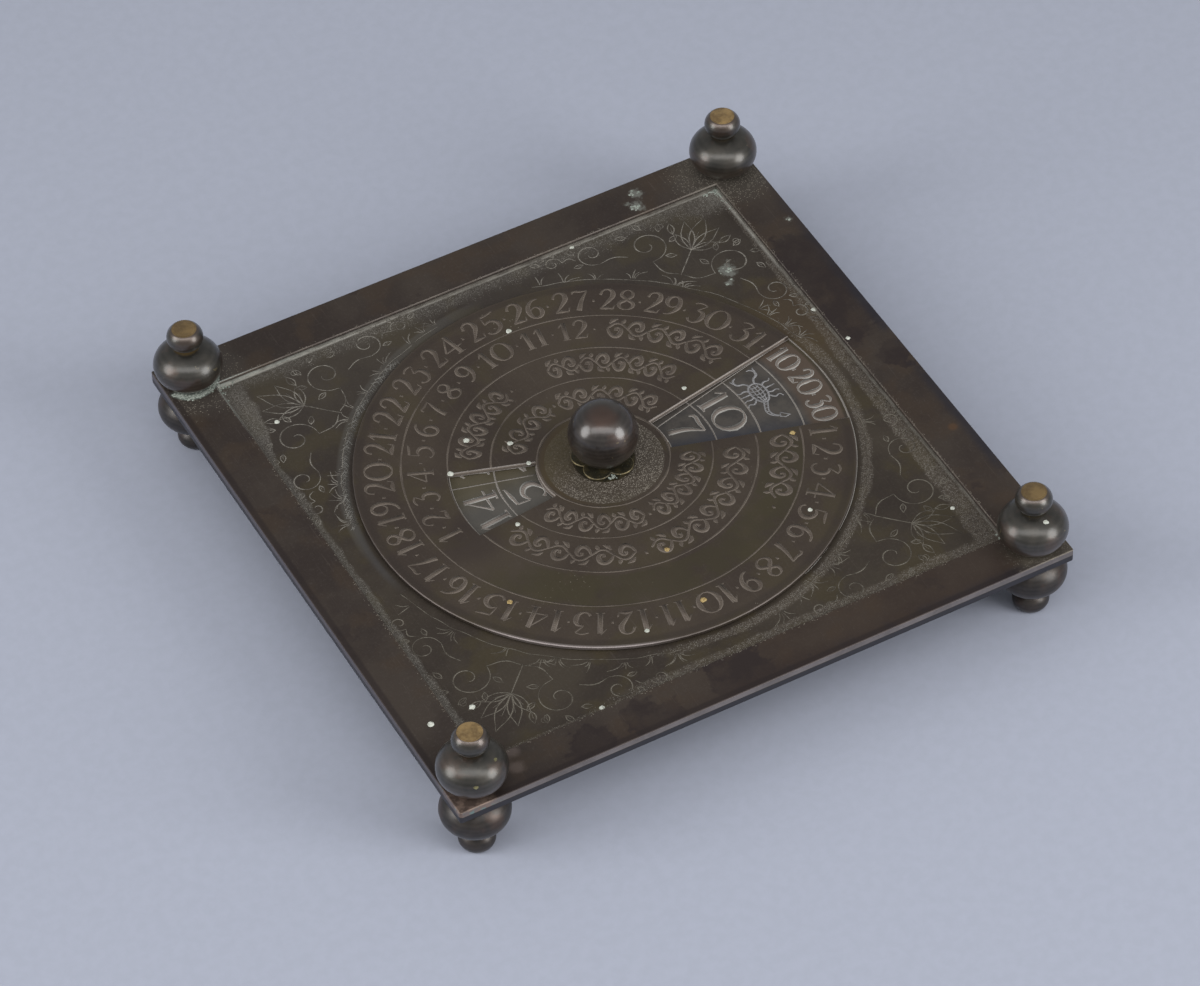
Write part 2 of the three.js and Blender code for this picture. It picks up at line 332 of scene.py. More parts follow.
# Marks of the border: place and reach
FRAME_STAINS = ((54, 27, 5.5), (54, 17.5, 6.5), (54, 8, 5.5), (58, -3, 3.5), (-4, -54.5, 6), (-22, -57, 5),
                (-33, -57, 4))
FRAME_CRUSTS = ((37.2, 56.4, 1.5), (35.8, 53.3, 1.6), (34.6, 54.6, 0.8), (58.2, 36.4, 0.9))
FRAME_BLOOMS = ((-45.8, -52.2), (-46.9, -55.6))
FRAME_RUST_AT = (57, -24)
DUSTY_CORNER_AT = (56, -57)


def frame_finish():
    """The raised border: plain brown with darker patches, dusty by the back finial, worn at the front-left corner,
    with painted highlights on its edges and painted light and shade on its walls and sides.
    """
    sheet = Sheet("frame_patina", (75, 66, 59), (61, 52, 48), (76, 63, 52), (30, 2, 0))
    x, y = sheet.x, sheet.y
    depth = x.math("ABSOLUTE").at_least(y.math("ABSOLUTE")) - INNER_HALF
    from_rim, from_top = FRAME_WIDTH - depth, FRAME_Z - sheet.z
    sheet.tint(y.over(-30, -52) * x.over(-30, 10) * 0.3, (78, 62, 50))
    sheet.tint(y.over(-48, -54) * depth.over(4, 8) * 0.35, (52, 40, 39))
    fray = sheet.noise(4, 5, 0.6, shift=(2, 60, 0)) * 10 - 5
    stain = sheet.noise(9, 4, 0.6, shift=(8, 14, 0)).over(0.64, 0.68) * 0.6
    for across, along, reach in FRAME_STAINS:
        stain = stain.at_least((sheet.radius(across, along) + fray).over(reach + 0.5, reach - 0.5))
    deep = sheet.noise(5, 4, 0.6, shift=(7, 7, 3)).over(0.4, 0.6)
    sheet.tint(stain * (deep * 0.5 + 0.4), (54, 45, 44))
    # Painted shade: a cool dark tint on the right border, near its outer edge and towards the front.
    cool_painted_shade = x.over(0, 8) * from_rim.over(2.6, 0.6) * sheet.noise(9, 3).over(0.35, 0.6)
    sheet.tint(cool_painted_shade * (x - y).over(0, 40) * 0.7, (46, 46, 56))
    sheet.tint(sheet.radius(*FRAME_RUST_AT).over(1.2, 0.4) * 0.5, (108, 78, 52))
    for place in FRAME_BLOOMS:
        sheet.tint((sheet.radius(*place) + fray * 0.3).over(1.9, 0.5) * 0.45, (128, 114, 108))
    seat = sheet.radius(-FINIAL_AT, FINIAL_AT)
    ahead = (x + FINIAL_AT) * 0.21 - (y - FINIAL_AT) * 0.98
    ring = seat.over(5.5, 5.1) * seat.over(3.2, 3.8) * ahead.over(0.2, 1.6)
    back_finial = sheet.radius(FINIAL_AT, FINIAL_AT).over(13, 6)
    left_finial = seat.over(12, 7) * 0.5
    sheet.tint(back_finial * 0.5, (106, 101, 93))
    sheet.tint(left_finial * 0.8, (96, 91, 86))
    sheet.tint(ring * (deep * 0.3 + 0.65), (150, 160, 153))
    sheet.dust(back_finial * 0.4 + left_finial * 0.5 + depth.over(0.9, 0.1) * 0.3 + 0.008, 0.22)
    top = from_top.over(0.12, 0.04)
    # Painted highlight: a pale, broken line along the border's inner top edge.
    lip = depth.over(0.26, 0.1) * top * (sheet.noise(3, 4, 0.7).over(0.4, 0.6) * 0.4 + 0.25)
    sheet.tint(lip, (142, 134, 126))
    limed = depth.over(0.45, 0.1) * top * x.over(-40, -50) * y.over(34, 48)
    sheet.tint(limed * 0.7, (172, 178, 172))
    wall = depth.over(0.03, 0.0) * (1.0 - top)
    # Painted shade: the border's inner wall, below its top edge, darkened.
    sheet.tint(wall * 0.5, (52, 45, 41))
    deposit = sheet.z.over(DIAL_Z + 0.85, DIAL_Z + 0.35) * x.at_least(y).over(48, 51)
    deposit = wall * deposit * (sheet.noise(3, 4, 0.6, shift=(9, 9, 1)).over(0.35, 0.6) * 0.45 + 0.35)
    sheet.tint(deposit, (154, 150, 142))
    sheet.tint(deposit * x.over(-14, -46), (192, 196, 190))
    dusty = (sheet.radius(*DUSTY_CORNER_AT) + fray * 0.6).over(9, 4)
    sheet.tint(dusty * (deep * 0.3 + 0.55), (108, 101, 89))
    sheet.dust(dusty * 0.4, 0.2, (142, 134, 124))
    sheet.crust(FRAME_CRUSTS)
    margin = from_rim.over(1.6, 1.0) * (x + y).over(20, -20)
    sheet.tint(margin * 0.6 * (1.0 - dusty), (46, 38, 38))
    outer = from_rim.over(0.15, 0.03)
    side = outer * from_top.over(0.03, 0.2)
    # Painted highlight on the outer top edge; painted light on the outer sides, pale on the front, painted shade
    # on the left.
    sheet.tint(outer * 0.4, (100, 92, 92))
    painted_gleam = sheet.noise(6, 4, 0.6, shift=(3, 3, 40)).over(0.35, 0.65)
    lit_front_side = sheet.mix(painted_gleam, (116, 110, 109), (136, 129, 128))
    sheet.tint(side * 0.9, sheet.mix(x.over(-59.4, -59.8), lit_front_side, (99, 95, 101)))
    corner = sheet.radius(-PLATE_HALF, -PLATE_HALF)
    worn = (sheet.noise(1.6, 3, 0.6).over(0.4, 0.6) * 0.6 + 0.35) * (corner + fray * 0.4).over(8.5, 5.5)
    sheet.tint(worn * 0.8, (140, 120, 108))
    verdigris = sheet.noise(1.1, 3, 0.7, shift=(4, 4, 0)).over(0.55, 0.64) * side * corner.over(11, 5)
    sheet.tint(verdigris * 0.9, (120, 142, 138))
    return sheet.done(0.36)


def disc_finish():
    """The cover disc: brown with violet-brown and olive clouds, painted shade inside the rim,
    and painted highlights on the rim and painted light on the windows' walls.
    """
    sheet = Sheet("disc_patina", (83, 73, 63), (72, 62, 55), (83, 74, 56), (70, 20, 0))
    x, y, reach = sheet.x, sheet.y, sheet.radius()
    from_rim, from_top = DISC_R - reach, DISC_Z - sheet.z
    clouded = sheet.noise(5, 4, 0.6, shift=(1, 2, 30)).over(0.3, 0.55)
    blank = reach.over(27.2, 28) * reach.over(35.6, 34.8) * (x * 0.1 - y).over(6, 18)
    sheet.tint(blank * clouded * 0.6, (74, 68, 49))
    sheet.tint(sheet.radius(-29, -5).over(8, 3) * 0.5, (62, 52, 50))
    # Painted shade of the dished rim: a darker ring inside it and a darker band at its edge.
    sheet.tint(reach.over(42.2, 43.2) * reach.over(44.2, 43.8) * 0.35, (56, 49, 46))
    sheet.tint(from_rim.over(0.3, 0.12) * 0.5, (60, 53, 50))
    # Painted highlights on the rim: broad on the front-left, a line along the top edge, and one at its foot.
    facing = (x * -0.57 - y * 0.82).over(40, 43.6)
    sheet.tint(from_rim.over(0.55, 0.3) * facing * 0.6, (146, 137, 134))
    rim = from_rim.over(0.2, 0.08)
    painted_gleam = sheet.mix(facing, (124, 115, 110), (168, 158, 156))
    sheet.tint(rim * from_top.over(0.25, 0.12) * (facing * 0.4 + 0.5), painted_gleam)
    foot = rim * sheet.z.over(DISC_BOTTOM + 0.2, DISC_BOTTOM + 0.08)
    sheet.tint(foot * (x * 0.5 - y * 0.8).over(20, 40) * 0.7, (132, 124, 118))
    # Painted light: the windows' cut walls made pale.
    wall = from_top.over(0.04, 0.12) * from_rim.over(0.6, 1.0)
    sheet.tint(wall * 0.8, (150, 140, 132))
    gold = reach.over(12.5, 10.5) * reach.over(5.5, 7.5) * (y - x).over(-6, 8)
    sheet.tint(gold * 0.6, (88, 74, 50))
    sheet.dust(sheet.noise(12, 2).over(0.5, 0.8) * 0.05 + 0.006, 0.26)
    return sheet.done(0.36)


# Turned balls
BALL_HALF_HEIGHT = 4.5
BALL_SEAT = 2.57
SMALL_RADIUS = 3.3
SMALL_HALF_HEIGHT = 2.6
WORN_RADIUS = 2.05
WORN_EDGE = 0.22
NECK_RADIUS = 1.9
NECK_BELOW_TIP = 4.6
BORE_PLAY = 0.2
BORE_SPARE = 0.3
SPIN_STEPS = 96


def turned_finish(name, dark, pale, coat, gloss, tip=None, belly=None, patch=None, coat_ior=1.5):
    """Turned pieces: dark and waxed, faint tool rings, brass spots, a painted brown reflection below the belly's
    height, a brown patch at a place, a painted glint at the neck, and a worn flat under a tip of that height."""
    finish = Finish(name)
    clouds = finish.noise(3.2, 4, 0.6)
    brown = finish.noise(4.5, 4, 0.6, shift=(20, 3, 1))
    spots = finish.noise(1.5, 3, 0.6, shift=(5, 5, 5))
    rings = (finish.z * 8 + clouds * 3).math("SINE") * 0.5 + 0.5
    scuffs = finish.noise(0.35, 3, 0.6, stretch=(1, 1, 0.25))
    finish.start(clouds.over(0.35, 0.7), dark, pale)
    finish.tint(brown.over(0.5, 0.64) * 0.45, (84, 64, 54))
    finish.tint(rings * 0.08, (116, 110, 106))
    finish.tint(spots.over(0.68, 0.74) * 0.4, (144, 130, 96))
    if belly is not None:
        # Painted reflection of the brown sheets: browner below the belly.
        finish.tint(finish.z.over(belly + 0.6, belly - 1.6) * 0.5, (84, 68, 57))
    if patch is not None:
        away = finish.node("VectorMath", {"operation": "DISTANCE"}, {0: finish.place, 1: patch}, output=1)
        finish.tint((away + clouds * 3).over(5.2, 2.6) * 0.7, (84, 60, 48))
    metallic = 0.75
    roughness = scuffs * 0.08 + rings * 0.03 + 0.38
    if tip is not None:
        from_tip, from_axis = tip - finish.z, finish.radius(FINIAL_AT, FINIAL_AT, mirrored=True)
        # Painted glint: brass colour round the neck, strongest on the back-left finial.
        neck = from_axis.over(2.6, 1.9) * (from_tip - NECK_BELOW_TIP).math("ABSOLUTE").over(0.7, 0.3)
        painted_gleam = neck * (finish.radius(-FINIAL_AT, FINIAL_AT).over(9, 7) * 0.4 + 0.1)
        finish.tint(painted_gleam * spots.over(0.25, 0.5), (168, 142, 92))
        collar = from_tip.over(0.8, 0.25)
        finish.tint(collar * 0.5, (106, 90, 82))
        worn = from_tip.over(0.16, 0.1)
        dull = finish.noise(3.4, 3, 0.6, shift=(0, 0, 9)).over(0.38, 0.6)
        aside = (finish.x * finish.y).over(2000, -2000)
        flat = finish.mix(dull, (180, 150, 102), (136, 112, 78))
        flat = finish.mix(scuffs.over(0.4, 0.7) * 0.3, flat, (192, 166, 122))
        flat = finish.mix(aside * 0.5, flat, (98, 82, 58))
        finish.tint(worn, flat)
        edge = worn * from_axis.over(WORN_RADIUS - 0.2, WORN_RADIUS - 0.1)
        metallic = worn * -0.15 + metallic
        roughness = roughness - collar * 0.08 - edge * 0.1
        coat = worn * -coat + coat
    return finish.finished(metallic, roughness, rings * 0.3 + scuffs * 0.7, 0.006,
                           Coat_Weight=coat, Coat_Roughness=gloss, Coat_IOR=coat_ior)


def washer_finish():
    """Hub washers: green-black brass, bright where the rim is worn."""
    finish = Finish("washer_patina")
    clouds = finish.noise(1.6, 4, 0.6)
    grit = finish.noise(0.25, 2, 0.6)
    from_top = spot("rosette_washer", 1).z - finish.z
    finish.start(clouds.over(0.4, 0.62), (54, 51, 40), (80, 72, 50))
    rim = from_top.over(0.02, 0.05) * from_top.over(0.15, 0.1)
    finish.tint(rim * clouds.over(0.3, 0.6) * 0.8, (132, 118, 84))
    finish.tint(grit.over(0.64, 0.74) * 0.7, (134, 138, 122))
    return finish.finished(0.6, 0.36 + grit * 0.2, grit, 0.03)


def steel_finish():
    """Dull steel of the studs, nut and washers on the underside."""
    finish = Finish("dull_steel")
    rust = finish.noise(1.4, 4, 0.6)
    grain = finish.noise(0.3, 2, 0.5)
    finish.start(rust.over(0.52, 0.66) * 0.6, (112, 110, 106), (92, 68, 52))
    return finish.finished(0.85, 0.38 + grain * 0.2, grain, 0.01)


def stroke_finish(name, ground, fill, outline, fade=0.5, wear_grain=5.0):
    """Engraved strokes: a hatched fill between pale outlines, worn back to the ground in places."""
    finish = Finish(name)
    turn = finish.part(finish.node("UVMap", {"uv_map": "UVMap"}), 1)
    across = turn.at_most(1 - turn) * 4
    hatch = ((finish.x + finish.y * 0.6) * 12).math("SINE").over(-0.2, 0.6)
    wear = finish.noise(wear_grain, 4, 0.6, shift=(9, 1, 0))
    grit = finish.noise(0.3, 2, 0.6)
    finish.start(hatch * 0.5, fill, ground)
    finish.tint(across.over(0.5, 0.72), outline)
    finish.tint(wear.over(0.46, 0.6) * fade, ground)
    finish.tint(grit.over(0.6, 0.75) * 0.35, ground)
    return finish.finished(0.2, 0.6, grit, 0.02)


def stipple_finish():
    """Punched ground round the hub: bright grains over dark hollows, worn smooth at the back left."""
    finish = Finish("stippled_ground")
    side = (finish.x * 0.35 - finish.y * 0.95 + finish.noise(3, 3) * 6).over(-4, 4)
    grains = finish.grains(0.25, side * 0.75 + 0.12)
    fine = finish.noise(0.22, 2, 0.6)
    clouds = finish.noise(4, 3, 0.5)
    finish.start(side, (80, 70, 50), (80, 72, 63))
    finish.tint(fine.over(0.4, 0.7) * 0.4, (114, 105, 94))
    finish.tint(grains * (side * 0.5 + 0.3), (162, 153, 141))
    finish.tint(clouds.over(0.5, 0.65) * 0.3, (78, 70, 54))
    return finish.finished(0.35, 0.5, grains + fine * 0.5, 0.05)


def residue_finish(name, pale, deep):
    """Dry crumbs of verdigris and lime."""
    finish = Finish(name)
    grit = finish.noise(0.4, 3, 0.6)
    finish.start(grit.over(0.35, 0.65), deep, pale)
    return finish.finished(0.0, 0.9, grit, 0.08)


def dress(material, *nodes):
    """Gives carried-over nodes their finish."""
    for node in nodes:
        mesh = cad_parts[node].data
        mesh.materials.clear()
        mesh.materials.append(material)


def add_object(name, data):
    made = bpy.data.objects.new(name, data)
    bpy.context.scene.collection.objects.link(made)
    return made


def add_piece(name, mesh, body, material):
    """Puts a finished mesh in the scene, riding on its body."""
    piece = add_object(name, mesh)
    mesh.materials.clear()
    mesh.materials.append(material)
    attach(piece, body)
    return piece


def to_mesh(name, shape, smooth=True, sharp_degrees=40):
    """Turns a bmesh in millimetres into a mesh in metres with its faces pointing out."""
    bmesh.ops.scale(shape, vec=(MM, MM, MM), verts=shape.verts)
    bmesh.ops.recalc_face_normals(shape, faces=shape.faces)
    mesh = bpy.data.meshes.new(name)
    shape.to_mesh(mesh)
    shape.free()
    if smooth:
        mesh.shade_smooth()
        mesh.set_sharp_from_angle(angle=math.radians(sharp_degrees))
    return mesh


def spun(profile, steps):
    """Spins a profile of (radius, height) points round the axis into a closed bmesh."""
    shape = bmesh.new()
    points = [shape.verts.new((radius, 0, height)) for radius, height in profile]
    for first, second in zip(points, points[1:]):
        shape.edges.new((first, second))
    bmesh.ops.spin(shape, geom=shape.verts[:] + shape.edges[:], cent=(0, 0, 0), axis=(0, 0, 1),
                   dvec=(0, 0, 0), angle=2 * math.pi, steps=steps, use_merge=True)
    bmesh.ops.remove_doubles(shape, verts=shape.verts, dist=MM)
    return shape


def oval_arc(radius, half_height, centre, start, end, steps):
    """Outline of a flattened ball between two angles, measured from straight down."""
    angles = [start + (end - start) * step / steps for step in range(steps + 1)]
    return [(radius * math.sin(angle), centre - half_height * math.cos(angle)) for angle in angles]


def turned_profile(radius, height, bore, depth):
    """The outline of a finial or foot from the end of its bore, round its seat, to its worn tip."""
    seat = math.asin(BALL_SEAT / radius)
    lift = BALL_HALF_HEIGHT * math.cos(seat)
    neck_top = math.pi - math.asin(NECK_RADIUS / radius)
    collar = math.asin(NECK_RADIUS / SMALL_RADIUS)
    tip = math.pi - math.asin((WORN_RADIUS + WORN_EDGE / 2) / SMALL_RADIUS)
    small_lift = height + SMALL_HALF_HEIGHT * math.cos(math.pi - math.asin(WORN_RADIUS / SMALL_RADIUS))
    return [
        (0, depth), (bore, depth), (bore, 0),
        *oval_arc(radius, BALL_HALF_HEIGHT, lift, seat, neck_top, 28),
        *oval_arc(SMALL_RADIUS, SMALL_HALF_HEIGHT, small_lift, collar, tip, 18),
        (WORN_RADIUS - WORN_EDGE / 2, height - WORN_EDGE / 4), (WORN_RADIUS - WORN_EDGE, height), (0, height),
    ]


def make_turned_pieces():
    top = spot("finial_front_left", 1).z
    belly = spot("finial_front_left", 0).z + BALL_HALF_HEIGHT
    looks = {"finial": turned_finish("turned_patina_top", (51, 49, 44), (69, 65, 58), 0.9, 0.25,
                                     tip=top, belly=belly),
             "foot": turned_finish("turned_patina_foot", (55, 52, 50), (74, 67, 62), 0.3, 0.3)}
    for corner in CORNERS:
        stud_low, stud_high = spot(f"tie_stud_{corner}", 0), spot(f"tie_stud_{corner}", 1)
        bore = (stud_high.x - stud_low.x) / 2 + BORE_PLAY
        for kind, look in looks.items():
            node = f"{kind}_{corner}"
            low, high = spot(node, 0), spot(node, 1)
            upwards = kind == "finial"
            reach = stud_high.z - low.z if upwards else high.z - stud_low.z
            profile = turned_profile((high.x - low.x) / 2, high.z - low.z, bore, reach + BORE_SPARE)
            shape = spun(profile, SPIN_STEPS)
            bmesh.ops.scale(shape, vec=(1, 1, 1 if upwards else -1), verts=shape.verts)
            seat = low.z if upwards else high.z
            centre = (low + high) / 2
            bmesh.ops.translate(shape, vec=(centre.x, centre.y, seat), verts=shape.verts)
            piece = add_piece(f"turned_{node}", to_mesh(node, shape), "base", look)
            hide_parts(node)


KNOB_PATCH_ELEVATION = 76


def make_knob():
    low, high = spot("knob_ball", 0), spot("knob_ball", 1)
    radius = (high.x - low.x) / 2
    centre = high.z - low.z - radius
    stud_low, stud_high = spot("pivot_stud", 0), spot("pivot_stud", 1)
    bore = (stud_high.x - stud_low.x) / 2 + BORE_PLAY
    depth = stud_high.z - low.z + BORE_SPARE
    seat = math.acos(centre / radius)
    profile = [(0, depth), (bore, depth), (bore, 0), *oval_arc(radius, radius, centre, seat, math.pi, 48)]
    shape = spun(profile, SPIN_STEPS)
    bmesh.ops.translate(shape, vec=(0, 0, low.z), verts=shape.verts)
    patch = Vector((0, 0, low.z + centre)) + direction(CAMERA_AZIMUTH, KNOB_PATCH_ELEVATION) * radius
    look = turned_finish("knob_patina", (46, 40, 37), (63, 56, 51), 1.0, 0.2, patch=patch, coat_ior=1.6)
    piece = add_piece("turned_knob", to_mesh("turned_knob", shape), "cover", look)
    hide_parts("knob_ball")


# Engraved strokes
STROKE_FLATNESS = 0.055
STROKE_LIFT = 0.004
STROKE_STEPS = 4
EVEN_PEN = 0.05


def stroke(closed, smooth, points):
    """A stroke through points (x, y, half width); one without a half width gets the even pen's."""
    return [(*point, EVEN_PEN)[:3] for point in points], closed, smooth


def cut(*points):
    """A stroke of straight runs."""
    return stroke(False, False, points)


def flow(*points):
    """A stroke that bends smoothly from end to end."""
    return stroke(False, True, points)


def loop(*points):
    """A smooth stroke that closes on itself."""
    return stroke(True, True, points)


def dot(x, y, half):
    """A small round punch mark."""
    return [cut((x - half * 0.6, y, half), (x + half * 0.6, y, half))]


def pen_work(name, strokes, surface, body, material):
    """Lays strokes on a surface as one flat relief."""
    curve = bpy.data.curves.new(name, "CURVE")
    curve.dimensions = "3D"
    curve.twist_mode = "Z_UP"
    curve.bevel_depth = MM
    curve.bevel_resolution = 0
    curve.resolution_u = STROKE_STEPS
    curve.use_fill_caps = True
    for points, closed, smooth in strokes:
        spline = curve.splines.new("BEZIER")
        spline.bezier_points.add(len(points) - 1)
        spline.use_cyclic_u = closed
        for knot, (x, y, half) in zip(spline.bezier_points, points):
            knot.co = (x * MM, y * MM, 0)
            knot.radius = half
            knot.handle_left_type = knot.handle_right_type = "AUTO" if smooth else "VECTOR"
    drawn = bpy.data.objects.new(name + "_curve", curve)
    mesh = bpy.data.meshes.new_from_object(drawn)
    bpy.data.objects.remove(drawn)
    bpy.data.curves.remove(curve)
    flat = Matrix.Diagonal((1, 1, STROKE_FLATNESS, 1))
    mesh.transform(Matrix.Translation((0, 0, (surface + STROKE_LIFT) * MM)) @ flat)
    shape = bmesh.new()
    shape.from_mesh(mesh)
    bmesh.ops.remove_doubles(shape, verts=shape.verts, dist=MM * MM)
    bmesh.ops.recalc_face_normals(shape, faces=shape.faces)
    shape.to_mesh(mesh)
    shape.free()
    add_piece(name, mesh, body, material)


def on_disc(name, strokes, material, surface=DISC_Z):
    pen_work(name, strokes, surface, "cover", material)


def on_plate(name, strokes, material):
    pen_work(name, strokes, DIAL_Z, "base", material)


def polar(radius, degrees):
    angle = math.radians(degrees)
    return radius * math.cos(angle), radius * math.sin(angle)


def reshaped(strokes, place):
    """The strokes with every point's x, y and half width sent through place."""
    return [([place(*point) for point in points], closed, smooth) for points, closed, smooth in strokes]


def sized(strokes, height, left=0.0, breadth=1.0):
    """Scales strokes drawn one unit high, and moves them right."""
    return reshaped(strokes, lambda x, y, half: (left + x * height * breadth, y * height, half * height))


def moved(strokes, right, up):
    return reshaped(strokes, lambda x, y, half: (x + right, y + up, half))


def bolder(strokes, weight):
    return reshaped(strokes, lambda x, y, half: (x, y, half * weight))


def bent(strokes, angle, baseline, rise=0.0, middle=0.0):
    """Wraps strokes round the axis: x runs clockwise from angle, at full length on the middle line,
    and y outwards from the baseline."""
    def place(x, y, half):
        across, along = polar(baseline + y, angle - math.degrees(x / (baseline + middle)))
        return across, along + rise, half
    return reshaped(strokes, place)


# Digits one unit high, drawn with a broad pen: K is half its broad line, N half its narrow one
K, N = 0.1, 0.024
DIGITS = {
    "0": [loop((0.04, 0.48, K), (0.45, 0.97, N), (0.88, 0.52, K), (0.46, 0.03, N))],
    "1": [cut((0.26, 0.03, K * 0.9), (0.26, 0.93, K * 0.9)), cut((0.02, 0.72, N), (0.24, 0.96, N * 1.6)),
          flow((0.06, 0.02, N), (0.26, 0.05, N * 1.8), (0.46, 0.02, N))],
    "2": [flow((0.06, 0.72, K * 0.5), (0.2, 0.95, N * 1.4), (0.46, 0.95, K * 0.6), (0.56, 0.7, K),
               (0.4, 0.42, K * 0.7), (0.14, 0.14, N * 1.2), (0.04, 0.04, N)),
          flow((0.04, 0.04, N), (0.3, 0.08, K * 0.8), (0.62, 0.04, N)), cut((0.6, 0.04, N), (0.66, 0.24, N))],
    "3": [flow((0.06, 0.88, N * 1.3), (0.3, 0.96, N * 1.6), (0.56, 0.9, N)),
          cut((0.56, 0.9, N), (0.28, 0.6, N * 1.2)),
          flow((0.28, 0.6, N * 1.2), (0.52, 0.55, K * 0.7), (0.6, 0.3, K), (0.42, 0.04, K * 0.5),
               (0.16, 0.03, N * 1.4), (0.04, 0.16, K * 0.5))],
    "4": [cut((0.6, 0.97, N), (0.03, 0.3, N * 1.5)), flow((0.03, 0.3, N), (0.46, 0.3, N * 1.4), (0.9, 0.33, N)),
          cut((0.6, 0.97, K * 0.8), (0.6, 0.03, K * 0.8)), cut((0.4, 0.02, N), (0.82, 0.02, N))],
    "5": [flow((0.18, 0.9, N * 1.6), (0.46, 0.93, K * 0.5), (0.74, 1.0, N)),
          cut((0.18, 0.9, N), (0.14, 0.52, N)),
          flow((0.14, 0.52, N), (0.42, 0.6, K * 0.6), (0.7, 0.34, K), (0.48, 0.05, K * 0.6),
               (0.16, 0.02, N * 1.4), (0.03, 0.14, K * 0.5))],
    "6": [flow((0.58, 0.93, N * 1.4), (0.32, 0.86, K * 0.5), (0.06, 0.42, K), (0.3, 0.03, K * 0.5),
               (0.6, 0.27, K * 0.9), (0.38, 0.55, N * 1.5), (0.1, 0.4, N))],
    "7": [flow((0.04, 0.84, N), (0.1, 0.95, K * 0.5), (0.36, 0.93, K * 0.5), (0.64, 0.96, N)),
          flow((0.64, 0.96, N), (0.4, 0.5, K * 0.7), (0.24, 0.02, K))],
    "8": [loop((0.34, 0.52, K * 0.7), (0.1, 0.75, K * 0.6), (0.34, 0.97, N), (0.56, 0.76, K * 0.6),
               (0.3, 0.5, K * 0.8), (0.03, 0.25, K * 0.7), (0.34, 0.03, N), (0.64, 0.26, K * 0.7))],
    "9": [flow((0.08, 0.07, N * 1.4), (0.34, 0.14, K * 0.5), (0.6, 0.58, K), (0.36, 0.97, K * 0.5),
               (0.06, 0.73, K * 0.9), (0.28, 0.45, N * 1.5), (0.56, 0.6, N))],
}
ADVANCE_SHARES = {"0": 1.03, "1": 0.62, "4": 1.02, "5": 0.9}
USUAL_ADVANCE_SHARE = 0.8
DIGIT_GAP_SHARE = 0.12
ROW_DOT_LIFT = 0.45
ROW_DOT_SIZE = 0.06


def written(value, height, breadth=1.0):
    """A number's strokes from x = 0, and how wide it is."""
    strokes = []
    left = 0
    for digit in str(value):
        strokes += sized(DIGITS[digit], height, left, breadth)
        left += ADVANCE_SHARES.get(digit, USUAL_ADVANCE_SHARE) * height * breadth
    return strokes, left - DIGIT_GAP_SHARE * height


def number(value, angle, baseline, height, rise=0.0, breadth=1.0):
    """A number centred on an angle, tops outwards."""
    strokes, width = written(value, height, breadth)
    return bent(moved(strokes, -width / 2, 0), angle, baseline, rise, height / 2)


def number_row(values, start, end, baseline, height, breadth, rise=0.0):
    """Numbers spread evenly clockwise from one angle to another, a dot in every gap."""
    reach = baseline + height / 2
    widths = [written(value, height, breadth)[1] for value in values]
    gap = (math.radians(start - end) * reach - sum(widths)) / len(widths)
    strokes = []
    left = gap / 2
    for value, width in zip(values, widths):
        middle = start - math.degrees((left + width / 2) / reach)
        strokes += number(value, middle, baseline, height, rise, breadth)
        left += width + gap
        gap_middle = start - math.degrees((left - gap / 2) / reach)
        strokes += bent(dot(0, height * ROW_DOT_LIFT, height * ROW_DOT_SIZE), gap_middle, baseline, rise)
    return strokes


def side_place(side, outer, radius, rise=0.0):
    """Where a window's straight side crosses a ring, as an angle about the ring's centre."""
    start = Vector(polar(WINDOW_INNER, side[0])) - Vector((0, rise))
    run = Vector(polar(outer, side[1])) - Vector((0, rise)) - start
    half_turn = start.dot(run)
    root = math.sqrt(half_turn ** 2 - run.dot(run) * (start.dot(start) - radius ** 2))
    place = start + run * ((root - half_turn) / run.dot(run))
    return math.degrees(math.atan2(place.y, place.x)) % 360


RING_STEP_DEGREES = 5
RING_SHAKE = 0.07


def ring_line(radius, rise, start, end, half, seed):
    """A hand-cut arc, a little uneven in width and radius."""
    full = end - start >= 360
    count = max(3, round((end - start) / RING_STEP_DEGREES))
    points = []
    for step in range(count if full else count + 1):
        degrees = start + (end - start) * step / count
        shake = noise.noise(Vector((degrees * 0.09, seed, radius)))
        across, along = polar(radius + shake * RING_SHAKE, degrees)
        points.append((across, along + rise, half * (1 + shake * 0.5)))
    return [stroke(full, True, points)]


RING_GAP = 0.5


def around_windows(radius, rise):
    """The stretches of a ring on the disc that its windows leave."""
    if radius < WINDOW_INNER:
        return [(0, 360)]
    open_low = side_place(OPEN_LOW, DISC_R, radius, rise) - RING_GAP
    open_high = side_place(OPEN_HIGH, DISC_R, radius, rise) + RING_GAP
    if radius > CLOSED_OUTER:
        return [(open_high, open_low)]
    closed_high = side_place(CLOSED_HIGH, CLOSED_OUTER, radius, rise) - RING_GAP
    closed_low = side_place(CLOSED_LOW, CLOSED_OUTER, radius, rise) + RING_GAP
    return [(open_high, closed_high), (closed_low, open_low)]


# Parts of the leaf scroll, drawn on half a turn one unit high
VINE_CURL = ((0.0, 0.0, 0.03), (0.2, -0.28, 0.055), (0.46, -0.36, 0.08), (0.66, -0.2, 0.07),
             (0.62, 0.02, 0.05), (0.46, 0.04, 0.035), (0.44, -0.1, 0.05))
VINE_LEAF = ((0.1, 0.22, 0.02), (0.26, 0.38, 0.07), (0.5, 0.46, 0.015))
VINE_BUD = ((0.62, 0.2, 0.015), (0.76, 0.34, 0.06), (0.8, 0.46, 0.02))
VINE_SWAY = 0.26
VINE_WEIGHT = 1.3


